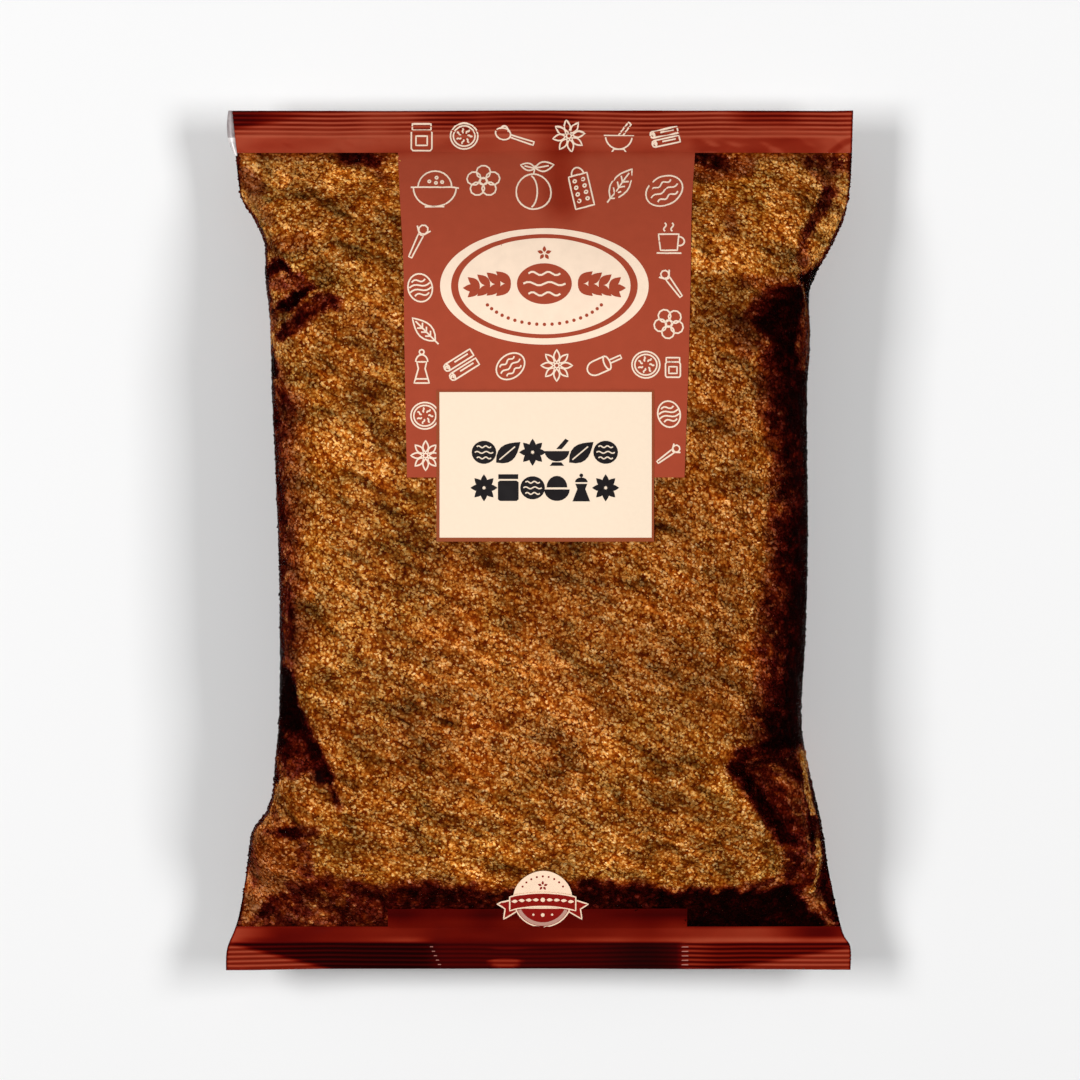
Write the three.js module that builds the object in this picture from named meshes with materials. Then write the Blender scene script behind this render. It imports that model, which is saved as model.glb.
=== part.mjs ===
// Pillow pack of ground nutmeg lying on its back, millimetres, +Z up, Y along the pack.
import * as THREE from 'three';

// ---- driving dimensions -------------------------------------------------------------------
const LENGTH = 220;          // over both end seals
const SEAL = 11;             // printed seal band at each end
const RIB_COUNT = 6;         // crimp ribs, counted in from each end
const RIB_PITCH = 1.1;
const RIB_HEIGHT = 0.35;
const FILM_PAIR = 0.7;       // two layers of film welded in the seal

const SEAM_Z = 17;           // height of the welded seams over the table
const DROOP_TOP = 0.9;       // how far the free ends of the seals hang down
const DROOP_FOOT = 3.0;
const CROWN = 28;            // rise of the front over the seams
const BELLY = 21;            // drop of the back under the seams, flattened by the table
const SHOULDER_TOP = 44;     // length over which the pack fills out below the top seal
const SHOULDER_FOOT = 50;    // the same above the bottom seal
const SQUARE_LEFT = 4.4;     // squareness of the cross-section, left and right flank
const SQUARE_RIGHT = 3.1;
const SQUARE_END = 2.3;      // cross-section where the pack runs out into a seal

// side outlines, [y, x] from the foot to the top
const EDGE_LEFT = [
  [-110, -80.3], [-104.6, -80.1], [-100, -78.3], [-97, -77.3], [-90, -75.9], [-78, -74.2],
  [-74, -73.3], [-69.6, -70.1], [-65.5, -68.5], [-57, -67.7], [-44, -66.6], [-18, -66.5],
  [10, -67.2], [36, -68.4], [54.6, -68.9], [60.8, -69.4], [67.7, -70.2], [73, -70.2],
  [76.6, -70.6], [81.6, -72.9], [86, -75.7], [88.4, -76.7], [98, -77.9], [110, -79.3],
];
const EDGE_RIGHT = [
  [-110, 79.5], [-104, 79.5], [-101.4, 77.9], [-98, 76.8], [-92, 75.4], [-83, 73.6],
  [-71, 71.6], [-61, 69.2], [-53, 67.6], [-46.8, 66.8], [-38, 67], [-25, 67.8], [0, 68.4],
  [36, 68.2], [53, 69], [61, 68.6], [65, 69.2], [68.6, 70.8], [75.4, 74.6], [82.3, 77.7],
  [90, 79.3], [97.5, 79.8], [110, 80.2],
];

// creases of the front film: path [x, y], reach to each side, height (minus goes in),
// and the share of the height lost by the far end of the path
const CREASES = [
  { path: [[-72, 70], [-66, 69]], reach: 5, height: -3.4, fade: 0.3 },
  { path: [[-72, 60], [-64, 62], [-57, 64.5]], reach: 7, height: -5, fade: 0.5 },
  { path: [[-68, -38], [-61.5, -51], [-55, -59], [-51, -68]], reach: 7, height: -4.2, fade: 0.7 },
  { path: [[-77, -72], [-70, -74], [-63, -75]], reach: 5, height: -2.6, fade: 0.6 },
  { path: [[76, 92], [73, 84], [68, 75]], reach: 6, height: -3.2, fade: 0.4 },
  { path: [[62, 68], [66, 60]], reach: 5, height: 2.2, fade: 0 },
  { path: [[62, -53], [65, -66], [67, -79], [67, -88]], reach: 5, height: 2, fade: 0.4 },
  { path: [[71.3, -79.7], [68.4, -86.7], [70.3, -93.8], [75.4, -99.3]], reach: 2.4, height: 1.7, fade: 0 },
  { path: [[5, 97], [6, 86]], reach: 7, height: -1, fade: 0 },
];
const DENT = [[48, -57], [67.5, -52], [63, -79.5]];   // pressed-in facet, lower right
const DENT_DEPTH = 5;

// corners of the seals that bend off the flat: fold line from a to b, lift past it
const CORNER_BENDS = [
  { a: [-80, -103.2], b: [-52, -110.6], lift: 3.6 },
  { a: [48, -110], b: [80, -104.2], lift: 3 },
  { a: [74, 110.5], b: [80.5, 100], lift: 1.6 },
];
const CURL_LENGTH = 12;      // top left corner, curled up along the side
const CURL_RISE = 1.8;
const CURL_OUT = 1.1;

const LABEL = { left: -26.0, right: 28.6, foot: -0.4, top: 37.5 };
const LABEL_THICKNESS = 0.35;
const LABEL_GAP = 0.3;

const COLUMNS = 40;          // front; the back has half as many
const FLANK_COLUMNS = 6;     // of each half, spent on the steep flank
const BODY_ROWS = 44;

// ---- helpers ------------------------------------------------------------------------------
const clamp = (v, lo, hi) => Math.min(hi, Math.max(lo, v));
const mix = (a, b, t) => a + (b - a) * t;

function ease(t) {
  const c = clamp(t, 0, 1);
  return c * c * (3 - 2 * c);
}

// smooth curve through a few points [at, value]
function through(points, at) {
  const last = points.length - 1;
  const y = clamp(at, points[0][0], points[last][0]);
  let i = 0;
  while (i < last - 1 && y > points[i + 1][0]) i += 1;
  const [p0, p1] = [points[Math.max(i - 1, 0)], points[i]];
  const [p2, p3] = [points[i + 1], points[Math.min(i + 2, last)]];
  const span = p2[0] - p1[0];
  const t = (y - p1[0]) / span;
  const slope1 = (p2[1] - p0[1]) / (p2[0] - p0[0]) * span;
  const slope2 = (p3[1] - p1[1]) / (p3[0] - p1[0]) * span;
  const t2 = t * t;
  const t3 = t2 * t;
  return p1[1] * (2 * t3 - 3 * t2 + 1) + slope1 * (t3 - 2 * t2 + t)
    + p2[1] * (3 * t2 - 2 * t3) + slope2 * (t3 - t2);
}

// distance to the path, and how far along it the nearest spot is
function nearest(x, y, path) {
  const legs = path.length - 1;
  let best = { distance: Infinity, along: 0 };
  for (let i = 0; i < legs; i += 1) {
    const [ax, ay] = path[i];
    const [bx, by] = path[i + 1];
    const [dx, dy] = [bx - ax, by - ay];
    const t = clamp(((x - ax) * dx + (y - ay) * dy) / (dx * dx + dy * dy), 0, 1);
    const distance = Math.hypot(x - ax - t * dx, y - ay - t * dy);
    if (distance < best.distance) best = { distance, along: (i + t) / legs };
  }
  return best;
}

// distance to the left of the line from a to b
function leftOf(x, y, a, b) {
  const [dx, dy] = [b[0] - a[0], b[1] - a[1]];
  return (dx * (y - a[1]) - dy * (x - a[0])) / Math.hypot(dx, dy);
}

// ---- shape of the pack --------------------------------------------------------------------
// how far the pack has filled out at y: 0 in the seals, 1 in the body
function fullness(y) {
  const inside = LENGTH / 2 - SEAL - Math.abs(y);
  const shoulder = y > 0 ? SHOULDER_TOP : SHOULDER_FOOT;
  return 1 - (1 - clamp(inside / shoulder, 0, 1)) ** 2;
}

function edgeX(side, y) {
  return side < 0 ? through(EDGE_LEFT, y) : through(EDGE_RIGHT, y);
}

function squareness(side, y) {
  return mix(SQUARE_END, side < 0 ? SQUARE_LEFT : SQUARE_RIGHT, fullness(y));
}

// cross-section at column s, -1 to 1: share of the half width and share of the rise;
// the middle columns are spaced evenly over the width, the flank ones over the height
function section(s, y) {
  const side = Math.sign(s) || 1;
  const run = Math.abs(s);
  const m = squareness(side, y);
  const corner = 2 ** (-1 / m);
  const split = 1 - FLANK_COLUMNS / (COLUMNS / 2);
  let across = run / split * corner;
  let rise = (1 - Math.min(across, 1) ** m) ** (1 / m);
  if (run > split) {
    rise = corner * (1 - (run - split) / (1 - split));
    across = (1 - rise ** m) ** (1 / m);
  }
  const round = ease(fullness(y) * 1.5);
  return { across: side * mix(run, across, round), rise };
}

// column of a spot on the middle part of the front
function columnAt(x, y) {
  const side = Math.sign(x) || 1;
  const corner = 2 ** (-1 / squareness(side, y));
  const stretch = mix(1, corner / (1 - FLANK_COLUMNS / (COLUMNS / 2)), ease(fullness(y) * 1.5));
  return side * Math.abs(x / edgeX(side, y)) / stretch;
}

function ribWave(y) {
  const fromEnd = LENGTH / 2 - Math.abs(y);
  if (fromEnd > RIB_COUNT * RIB_PITCH) return 0;
  return RIB_HEIGHT * Math.cos(2 * Math.PI * fromEnd / RIB_PITCH);
}

// the welded seams droop and wave a little; corners bend up
function seamZ(x, y) {
  const past = clamp((Math.abs(y) - (LENGTH / 2 - SEAL)) / SEAL, 0, 1);
  const wave = 0.7 * Math.sin(x / 21 + Math.sign(y)) + 0.4 * Math.sin(x / 9.5 + 2 * Math.sign(y));
  const droop = y > 0 ? DROOP_TOP : DROOP_FOOT;
  let z = SEAM_Z + past * (wave - droop) + ribWave(y);
  for (const { a, b, lift } of CORNER_BENDS) {
    const beyond = y < 0 ? -leftOf(x, y, a, b) : leftOf(x, y, a, b);
    if (a[1] * y > 0 && a[0] * x + b[0] * x > 0) z += lift * clamp(beyond / 5, 0, 1);
  }
  return z;
}

function creaseHeight(x, y) {
  let height = 0;
  for (const crease of CREASES) {
    const { distance, along } = nearest(x, y, crease.path);
    const near = clamp(1 - distance / crease.reach, 0, 1);
    height += crease.height * (1 - crease.fade * along) * near ** 1.3;
  }
  const [a, b, c] = DENT;
  const within = Math.min(-leftOf(x, y, a, b), -leftOf(x, y, b, c), -leftOf(x, y, c, a));
  return height - DENT_DEPTH * clamp(within / 4, 0, 1);
}

// settled contents make the front gently uneven
function settle(x, y) {
  return 0.45 * Math.sin(x / 17 + y / 31) + 0.4 * Math.sin(y / 14 - x / 37)
    + 0.25 * Math.sin(x / 8 + 1) * Math.sin(y / 9);
}

function smoothFront(s, y) {
  const { across, rise } = section(s, y);
  const x = across * Math.abs(edgeX(s, y));
  const film = FILM_PAIR / 2 * ease(rise * 3);
  const soft = ease(rise * 1.6) * ease(fullness(y) * 2);
  const z = seamZ(x, y) + film + (CROWN - 1) * fullness(y) * rise + settle(x, y) * soft;
  return new THREE.Vector3(x, y, z);
}

// creases push the film in and out square to its surface, fading out at its edge
function frontPoint(s, y) {
  const point = smoothFront(s, y);
  const open = ease(section(s, y).rise * 2.5) * ease(fullness(y) * 2);
  if (open === 0) return point;
  const step = 0.01;
  const along = smoothFront(s, y + step).sub(point);
  const over = smoothFront(s + step * (s < 0 ? 1 : -1), y).sub(point);
  const normal = over.cross(along).multiplyScalar(s < 0 ? 1 : -1).normalize();
  const kept = ease((Math.abs(edgeX(s, y)) - Math.abs(point.x)) / 3.5);
  return point.addScaledVector(normal, creaseHeight(point.x, y) * kept * open);
}

function backPoint(s, y) {
  const { across, rise } = section(s, y);
  const x = across * Math.abs(edgeX(s, y));
  const film = FILM_PAIR / 2 * ease(rise * 3);
  return [x, y, Math.max(seamZ(x, y) - film - BELLY * fullness(y) * rise, 0)];
}

// the top left corner of the seal curls up along its side
function curled({ x, y, z }, s) {
  const t = clamp((y - (LENGTH / 2 - CURL_LENGTH)) / CURL_LENGTH, 0, 1);
  return s > -1 ? [x, y, z] : [x - CURL_OUT * t, y, z + CURL_RISE * t];
}

function rowStations() {
  const end = LENGTH / 2;
  const ribs = Array.from({ length: 2 * RIB_COUNT }, (_, i) => end - i * RIB_PITCH / 2);
  const plain = [end - RIB_COUNT * RIB_PITCH, end - 0.8 * SEAL];
  const outer = [...ribs, ...plain];
  const body = Array.from({ length: BODY_ROWS + 1 }, (_, i) => {
    const v = 2 * i / BODY_ROWS - 1;
    return (end - SEAL) * (0.55 * v + 0.45 * Math.sin(Math.PI * v / 2));
  });
  return [...outer.map((y) => -y), ...body, ...outer.reverse()];
}

// ---- meshes -------------------------------------------------------------------------------
class Skin {
  constructor() {
    this.points = [];
    this.faces = [];
  }

  add(point) {
    this.points.push(...point);
    return this.points.length / 3 - 1;
  }

  quad(a, b, c, d) {
    this.faces.push(a, b, c, a, c, d);
  }

  mesh(name, colour, roughness) {
    const geometry = new THREE.BufferGeometry();
    geometry.setAttribute('position', new THREE.Float32BufferAttribute(this.points, 3));
    geometry.setIndex(this.faces);
    geometry.computeVertexNormals();
    const material = new THREE.MeshStandardMaterial({ color: colour, roughness });
    material.name = name;
    const mesh = new THREE.Mesh(geometry, material);
    mesh.name = name;
    return mesh;
  }
}

function pouch() {
  const skin = new Skin();
  const rows = rowStations();
  const front = [];
  const back = [];
  for (const y of rows) {
    const top = [];
    for (let j = 0; j <= COLUMNS; j += 1) {
      const s = 2 * j / COLUMNS - 1;
      top.push(skin.add(curled(frontPoint(s, y), s)));
    }
    const under = [top[0]];
    for (let j = 2; j < COLUMNS; j += 2) {
      under.push(skin.add(backPoint(2 * j / COLUMNS - 1, y)));
    }
    under.push(top[COLUMNS]);
    front.push(top);
    back.push(under);
  }
  for (let i = 0; i < rows.length - 1; i += 1) {
    for (let j = 0; j < COLUMNS; j += 1) {
      skin.quad(front[i][j], front[i][j + 1], front[i + 1][j + 1], front[i + 1][j]);
    }
    for (let j = 0; j < COLUMNS / 2; j += 1) {
      skin.quad(back[i][j + 1], back[i][j], back[i + 1][j], back[i + 1][j + 1]);
    }
  }
  closeEnd(skin, front[0], back[0], false);
  closeEnd(skin, front[rows.length - 1], back[rows.length - 1], true);
  return skin.mesh('pouch', 0x8a4a22, 0.45);
}

// end face between a front row and the back row with half as many points
function closeEnd(skin, top, under, flip) {
  const add = (a, b, c) => {
    if (a !== b && b !== c && a !== c) skin.faces.push(...(flip ? [a, c, b] : [a, b, c]));
  };
  for (let k = 0; k < under.length - 1; k += 1) {
    const [t0, t1, t2] = [top[2 * k], top[2 * k + 1], top[2 * k + 2]];
    add(under[k], t1, t0);
    add(under[k], under[k + 1], t1);
    add(under[k + 1], t2, t1);
  }
}

function nameLabel() {
  const skin = new Skin();
  const [across, along] = [14, 10];
  const layers = [LABEL_GAP, LABEL_GAP + LABEL_THICKNESS].map((lift) => {
    const grid = [];
    for (let i = 0; i <= along; i += 1) {
      const y = mix(LABEL.foot, LABEL.top, i / along);
      const row = [];
      for (let j = 0; j <= across; j += 1) {
        const x = mix(LABEL.left, LABEL.right, j / across);
        row.push(skin.add([x, y, smoothFront(columnAt(x, y), y).z + lift]));
      }
      grid.push(row);
    }
    return grid;
  });
  const [low, high] = layers;
  for (let i = 0; i < along; i += 1) {
    for (let j = 0; j < across; j += 1) {
      skin.quad(high[i][j], high[i][j + 1], high[i + 1][j + 1], high[i + 1][j]);
      skin.quad(low[i][j + 1], low[i][j], low[i + 1][j], low[i + 1][j + 1]);
    }
    skin.quad(low[i][0], high[i][0], high[i + 1][0], low[i + 1][0]);
    skin.quad(high[i][across], low[i][across], low[i + 1][across], high[i + 1][across]);
  }
  for (let j = 0; j < across; j += 1) {
    skin.quad(low[0][j], low[0][j + 1], high[0][j + 1], high[0][j]);
    skin.quad(high[along][j], high[along][j + 1], low[along][j + 1], low[along][j]);
  }
  return skin.mesh('name_label', 0xf3dcc0, 0.6);
}

const group = new THREE.Group();
group.name = 'ground_nutmeg_pack';
group.add(pouch(), nameLabel());
export default group;
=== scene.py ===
import math
import random

import bmesh
import bpy
import numpy as np
from mathutils import Matrix, Vector


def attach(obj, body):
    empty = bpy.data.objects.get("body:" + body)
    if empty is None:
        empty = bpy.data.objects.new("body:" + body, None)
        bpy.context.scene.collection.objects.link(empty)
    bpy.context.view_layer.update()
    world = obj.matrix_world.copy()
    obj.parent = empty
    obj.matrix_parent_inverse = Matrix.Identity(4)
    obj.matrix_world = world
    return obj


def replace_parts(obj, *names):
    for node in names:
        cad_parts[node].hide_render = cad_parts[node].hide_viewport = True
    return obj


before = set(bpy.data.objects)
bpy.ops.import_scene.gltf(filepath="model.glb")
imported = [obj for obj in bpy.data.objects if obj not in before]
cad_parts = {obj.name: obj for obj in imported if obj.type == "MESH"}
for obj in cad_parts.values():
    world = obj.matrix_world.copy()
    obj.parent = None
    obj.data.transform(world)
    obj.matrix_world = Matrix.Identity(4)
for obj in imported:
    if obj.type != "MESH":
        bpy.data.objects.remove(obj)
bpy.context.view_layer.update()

# A pillow pack of ground nutmeg on its back, with its film, inks, packed spice and loose crumbs.
# Shapes are worked out in millimetres and laid in metres. A column runs from -1 at the left edge
# to 1 at the right one, and a station is the distance above the middle of the pack.
MM = 0.001
RNG = np.random.default_rng(41)
random.seed(41)

# ---- size of the pack ---------------------------------------------------------------------
HALF_LENGTH, SEAL = 110.0, 11.0              # from the middle to either end, height of a seal
BODY_END = HALF_LENGTH - SEAL                # station where the fill ends and a seal begins
RIB_COUNT, RIB_PITCH, RIB_HEIGHT = 6, 1.16, 0.24
RIB_START_TOP, RIB_START_FOOT = 0.12, 0.55   # first groove, from the end of the pack
RIBS_FROM = 102.6                            # station past which a seal is ribbed
SEAL_PAIR = 0.36                             # both films in the seal
SEAM_Z, CROWN, BELLY = 17.0, 27.0, 21.0      # height of the seals, rise above and drop below it
SHOULDER_TOP, SHOULDER_FOOT = 44.0, 50.0     # length over which the fill grows from each seal
FILL_POWER = 2.0
SQUARE_LEFT, SQUARE_RIGHT, SQUARE_END = 4.4, 3.1, 2.3    # powers of the rounded section
DROOP_TOP, DROOP_FOOT = 0.9, 3.0             # how far each seal hangs at its edge
SPLIT = 0.7                                  # share of the columns spent on the middle part
CRUMB_SPLIT = 0.6                            # share of the crumbs laid there
DRIFT = -0.47                                # way in which long crumbs lie, in radians
FLAT_HALF = 80.0                             # half width of the empty film tube
SEAM_GAP = 0.34              # the folded back seam lies between the back and the table
PRINT_STEP, BADGE_STEP = 1.5, 1.2            # cells of the printed plates and of the badge
PRINT_LIFT = 0.05                            # of the lowest ink over the film

# station and column of the two edges of the pack
EDGE_LEFT = [
    (-110, -80.3), (-104.6, -80.1), (-100, -78.3), (-97, -77.3), (-90, -75.9), (-78, -74.2),
    (-74, -73.3), (-69.6, -70.1), (-65.5, -68.5), (-57, -67.7), (-44, -66.6), (-18, -66.5),
    (10, -67.2), (36, -68.4), (54.6, -68.9), (60.8, -69.4), (67.7, -70.2), (73, -70.2),
    (76.6, -70.6), (81.6, -72.9), (86, -75.7), (88.4, -76.7), (98, -77.9), (110, -79.3),
]
EDGE_RIGHT = [
    (-110, 79.5), (-104, 79.5), (-101.4, 77.9), (-98, 76.8), (-92, 75.4), (-83, 73.6), (-71, 71.6),
    (-61, 69.2), (-53, 67.6), (-46.8, 66.8), (-38, 67), (-25, 67.8), (0, 68.4), (36, 68.2),
    (53, 69), (61, 68.6), (65, 69.2), (68.6, 70.8), (75.4, 74.6), (82.3, 77.7), (90, 79.3),
    (97.5, 79.8), (110, 80.2),
]
# path, reach, height, share of the height lost along it
CREASES = [
    ([(-72, 70), (-66, 69)], 5, -3.4, 0.3),
    ([(-72, 60), (-64, 62), (-57, 64.5)], 7, -5, 0.5),
    ([(-68, -38), (-61.5, -51), (-55, -59), (-51, -68)], 7, -4.2, 0.7),
    ([(-77, -72), (-70, -74), (-63, -75)], 5, -2.6, 0.6),
    ([(76, 92), (73, 84), (68, 75)], 6, -3.2, 0.4),
    ([(62, 68), (66, 60)], 5, 2.2, 0),
    ([(62, -53), (65, -66), (67, -79), (67, -88)], 5, 2.0, 0.4),
    ([(5, 97), (6, 86)], 7, -1, 0),
    ([(71.3, -79.7), (68.4, -86.7), (70.3, -93.8), (75.4, -99.3)], 2.4, 1.7, 0),
]
DENT, DENT_DEPTH = [(48, -57), (67.5, -52), (63, -79.5)], 5.0
# two ends of the line past which a corner is bent, and how far it is lifted
CORNER_BENDS = [
    ((-80, -103.2), (-52, -110.6), 3.6),
    ((48, -110), (80, -104.2), 3.0),
    ((74, 110.5), (80.5, 100), 1.6),
]
# path, width and depth of the painted shadows along folds in the spice
SHADOWS = [
    ([(-69.8, 67.4), (-68.6, 69.8), (-66.8, 70.6), (-65.4, 69.2)], 1.4, 0.97),
    ([(-65, 68.6), (-58.2, 64.4)], 0.8, 0.85),
    ([(-67.6, 65.4), (-61.5, 66)], 2.4, 0.68),
    ([(-68, 75), (-60, 75.5)], 2.6, 0.35),
    ([(-69, 58.2), (-66.6, 59.2)], 0.9, 0.97),
    ([(-66, 60), (-63.4, 61.4)], 2.5, 0.988),
    ([(-63.4, 61.5), (-60.8, 62.9)], 1.8, 0.985),
    ([(-60.8, 63.1), (-58.2, 64.3)], 0.9, 0.95),
    ([(-51.2, 59.6), (-56, 61.2)], 1.9, 0.82),
    ([(-55.4, 60), (-60.2, 57)], 2.6, 0.86),
    ([(-60.6, 56.2), (-65.6, 51.8)], 2.0, 0.88),
    ([(-68.8, 53.8), (-68.4, 58)], 0.8, 0.7),
    ([(-69, 46), (-68, 42)], 1.0, 0.9),
    ([(-66.5, 39.6), (-64.2, 34), (-62.6, 32.4)], 1.1, 0.55),
    ([(-63.6, -12), (-63.2, -24)], 0.8, 0.75),
    ([(-65, -34.5), (-64.8, -40), (-64, -46.5)], 2.6, 0.985),
    ([(-62.6, -45), (-59.6, -50), (-57.2, -55), (-55, -60)], 2.6, 0.96),
    ([(-59.6, -50), (-57.6, -54)], 2.2, 0.9),
    ([(-54.6, -59), (-53.4, -62.4), (-51, -67.8)], 0.8, 0.9),
    ([(-62, -47), (-60.6, -52), (-58.6, -57)], 2.6, 0.78),
    ([(-64, -50), (-62.6, -57)], 3.6, 0.72),
    ([(-68, -69), (-67.4, -71)], 1.0, 0.5),
    ([(-70, -74.2), (-57.4, -73.8)], 1.4, 0.62),
    ([(-66.4, -74.4), (-62.2, -74.2)], 1.6, 0.97),
    ([(-60.6, -78), (-59.4, -87)], 2.0, 0.6),
    ([(-74.2, -78.5), (-73.2, -88)], 1.2, 0.45),
    ([(-70.6, -95.6), (-65.4, -92)], 1.6, 0.62),
    ([(-64, -88.8), (-55.4, -87.2)], 1.8, 0.5),
    ([(-50, 98), (-44.4, 97.6), (-42.4, 96.6)], 2.0, 0.88),
    ([(-52, 99), (-40, 98)], 1.4, 0.5),
    ([(-41, 94), (-38.6, 90.6)], 1.2, 0.5),
    ([(-76, 93.4), (-72.4, 90)], 2.6, 0.5),
    ([(-73.6, 88), (-69.5, 82)], 2.2, 0.32),
    ([(49.6, -57.4), (54.4, -63.6), (59.6, -71.4), (62.4, -75.8)], 2.6, 0.95),
    ([(53.4, -56.4), (58.6, -63.4), (62.4, -71)], 3.9, 0.85),
    ([(50.6, -54.2), (58, -52.4), (64.8, -50.4)], 2.0, 0.9),
    ([(68.6, -69.6), (69.6, -76)], 1.4, 0.97),
    ([(72.9, -83.6), (73, -89.4), (76.4, -97)], 1.6, 0.96),
    ([(41, 97.6), (46.6, 96.6)], 2.3, 0.88),
    ([(41, 94), (53, 95.5)], 2.6, 0.52),
    ([(69.6, 96.8), (77, 95.6)], 2.3, 0.74),
    ([(70.6, 94.4), (74.8, 91.4)], 1.6, 0.55),
    ([(74.6, 89.6), (71.9, 84.4), (69.2, 78.6)], 2.3, 0.84),
    ([(68.6, 77.6), (67.2, 70.6)], 1.7, 0.6),
    ([(67, 66.2), (70.8, 67.8)], 1.9, 0.985),
    ([(68.8, 66), (68.7, 63)], 1.7, 0.98),
    ([(51, 54), (51.6, 48)], 2.6, 0.35),
    ([(52, 65.4), (63, 64.8)], 1.6, 0.4),
    ([(48.2, 84), (48.6, 79)], 1.6, 0.4),
]
# station, column where the painted shade of the right flank starts, column where it is black
DARK_RIGHT = [
    (-53.5, 52, 62), (-50, 51.8, 60.5), (-40, 52, 62.5), (-30, 53, 64.5), (-20, 53.6, 64.5),
    (-10, 54.8, 64), (0, 55.6, 64), (10, 57.5, 66.5), (20, 57, 66), (30, 54.6, 63.6),
    (40, 55, 63), (46, 54, 60.4), (52, 53.8, 59), (57.5, 51.4, 56.6), (62, 54.4, 60),
    (65.2, 57, 62.4),
]
# station, how far in from the left edge the painted shade of the flank reaches
DARK_LEFT = [
    (-62, 0.5), (-56, 6), (-48, 8), (-40, 6), (-31, 7.5), (-24, 11.5), (-16, 9.5), (2, 10.4),
    (14, 10.6), (22, 9.6), (30, 12), (35, 13), (41, 6), (46, 2.6), (50, 0.5),
]
# column, station below which painted shade darkens the foot of the pack
DARK_FOOT = [
    (-80, -102), (-75, -97.5), (-70, -90.6), (-62, -86), (-56, -83.6), (-50, -85), (-40, -85.6),
    (-30, -85.2), (-18, -86.8), (0, -86.2), (14, -85.8), (22, -85), (32, -87), (44, -86.4),
    (56, -86.8), (62, -85.8), (66, -87.4), (69, -89.4), (72, -92), (75, -94.5), (80, -97),
]
# column, how black the painted shade is there
FOOT_DEPTH = [
    (-80, 0.55), (-60, 0.7), (-42, 0.84), (-34, 0.92), (20, 0.95), (40, 0.985), (80, 0.985),
]
SHADE_PATCH_MIDDLE = (0.0465, 0.0585, 0.043)     # middle of a soft patch of painted shade by the panel, metres
# station, column of the edge of the painted shade in the pressed-in corner
DENT_LINE = [
    (-92, 65), (-86, 60.5), (-80, 61), (-74, 58.4), (-66, 53.4), (-60, 49.8), (-55, 47.6),
    (-50, 47),
]
# path, reach and gain of painted highlights along the folds
LIT = [
    ([(71.2, -77), (70.6, -84), (69, -89.3)], 0.6, 1.35),
    ([(68.4, -88.6), (70, -93.6)], 1.2, 0.62),
    ([(70, -93.6), (75.2, -98.8)], 0.3, 0.45),
    ([(67.1, -54.5), (68.2, -61), (69.2, -66), (69.8, -69)], 0.7, 1.2),
    ([(64.8, -63), (66, -69)], 1.6, 0.45),
    ([(66.4, 64.4), (67.4, 61), (68.2, 57.6)], 0.4, 0.9),
]

# ---- print: stations and columns as left, right, foot, top ----------------------------------
PANEL_FOOT, PANEL_TOP = 15.7, 99.4
PANEL_LEFT = [(15.7, -33.4), (45, -34), (70, -34.4), (85, -35.4), (99.4, -36.4)]
PANEL_RIGHT = [(15.7, 36.3), (45, 37.35), (70, 38), (85, 38.5), (99.4, 39.7)]
FOOT_STEP = (-38.9, 37.6, -99.2, -94.1)
OVAL = (1.1, 63.9, 26.2, 14.85)      # middle and half sizes
LABEL = (-26.0, 28.6, -0.4, 37.5)
LABEL_FACE = (-25.2, 28.0, 0.6, 37.1)
BADGE = (0.7, -91.5, 7.55)           # middle and radius
CORNER_FOLD = [(80.4, 103), (77.4, 101.4), (74.6, 99.2)]
TOP_DENT = [(4, 104), (5, 96), (6, 86)]
# column, painted shade of the foot seal next to the fill and next to the ribs, and of its ribs
FOOT_UPPER = [
    (-79, 0.85), (-73, 0.6), (-66, 0.27), (-46, 0.42), (-34, 0.44), (-24, 0.3), (-6, 0.27),
    (6, 0.4), (28, 0.44), (40, 0.58), (56, 0.72), (66, 0.3), (74, 0.22), (79, 0.45),
]
FOOT_LOWER = [
    (-79, 0.85), (-74, 0.42), (-66, 0.26), (-44, 0.5), (-33, 0.68), (-26, 0.26), (-6, 0.28),
    (8, 0.58), (16, 0.7), (26, 0.6), (36, 0.8), (48, 0.95), (56, 1.0), (68, 0.8), (79, 0.95),
]
FOOT_RIBS = [
    (-79, 0.22), (-60, 0.13), (-40, 0.1), (-29, 0.12), (-24, 0.18), (10, 0.15), (35, 0.13),
    (38, 0.72), (46, 0.48), (60, 0.42), (79, 0.4),
]


# ---- shape of the film --------------------------------------------------------------------
def ease(t):
    t = np.clip(t, 0, 1)
    return t * t * (3 - 2 * t)


def between(value, low, high, soft):
    return ease((value - low) / soft) * ease((high - value) / soft)


def through(points, at):
    """Smooth curve through points of (station, value)."""
    ys, xs = (np.array(c, float) for c in zip(*points))
    y = np.clip(at, ys[0], ys[-1])
    i = np.clip(np.searchsorted(ys, y, side="right") - 1, 0, len(ys) - 2)
    before, after = np.maximum(i - 1, 0), np.minimum(i + 2, len(ys) - 1)
    span = ys[i + 1] - ys[i]
    t = (y - ys[i]) / span
    slope_1 = (xs[i + 1] - xs[before]) / (ys[i + 1] - ys[before]) * span
    slope_2 = (xs[after] - xs[i]) / (ys[after] - ys[i]) * span
    t2, t3 = t * t, t * t * t
    return (xs[i] * (2 * t3 - 3 * t2 + 1) + slope_1 * (t3 - 2 * t2 + t)
            + xs[i + 1] * (3 * t2 - 2 * t3) + slope_2 * (t3 - t2))


def nearest(x, y, path):
    """Distance to a path, and how far along it the nearest spot is."""
    legs = len(path) - 1
    best, along = np.full(x.shape, np.inf), np.zeros(x.shape)
    for i, ((ax, ay), (bx, by)) in enumerate(zip(path, path[1:])):
        dx, dy = bx - ax, by - ay
        t = np.clip(((x - ax) * dx + (y - ay) * dy) / (dx * dx + dy * dy), 0, 1)
        d = np.hypot(x - ax - t * dx, y - ay - t * dy)
        along = np.where(d < best, (i + t) / legs, along)
        best = np.minimum(best, d)
    return best, along


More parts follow.
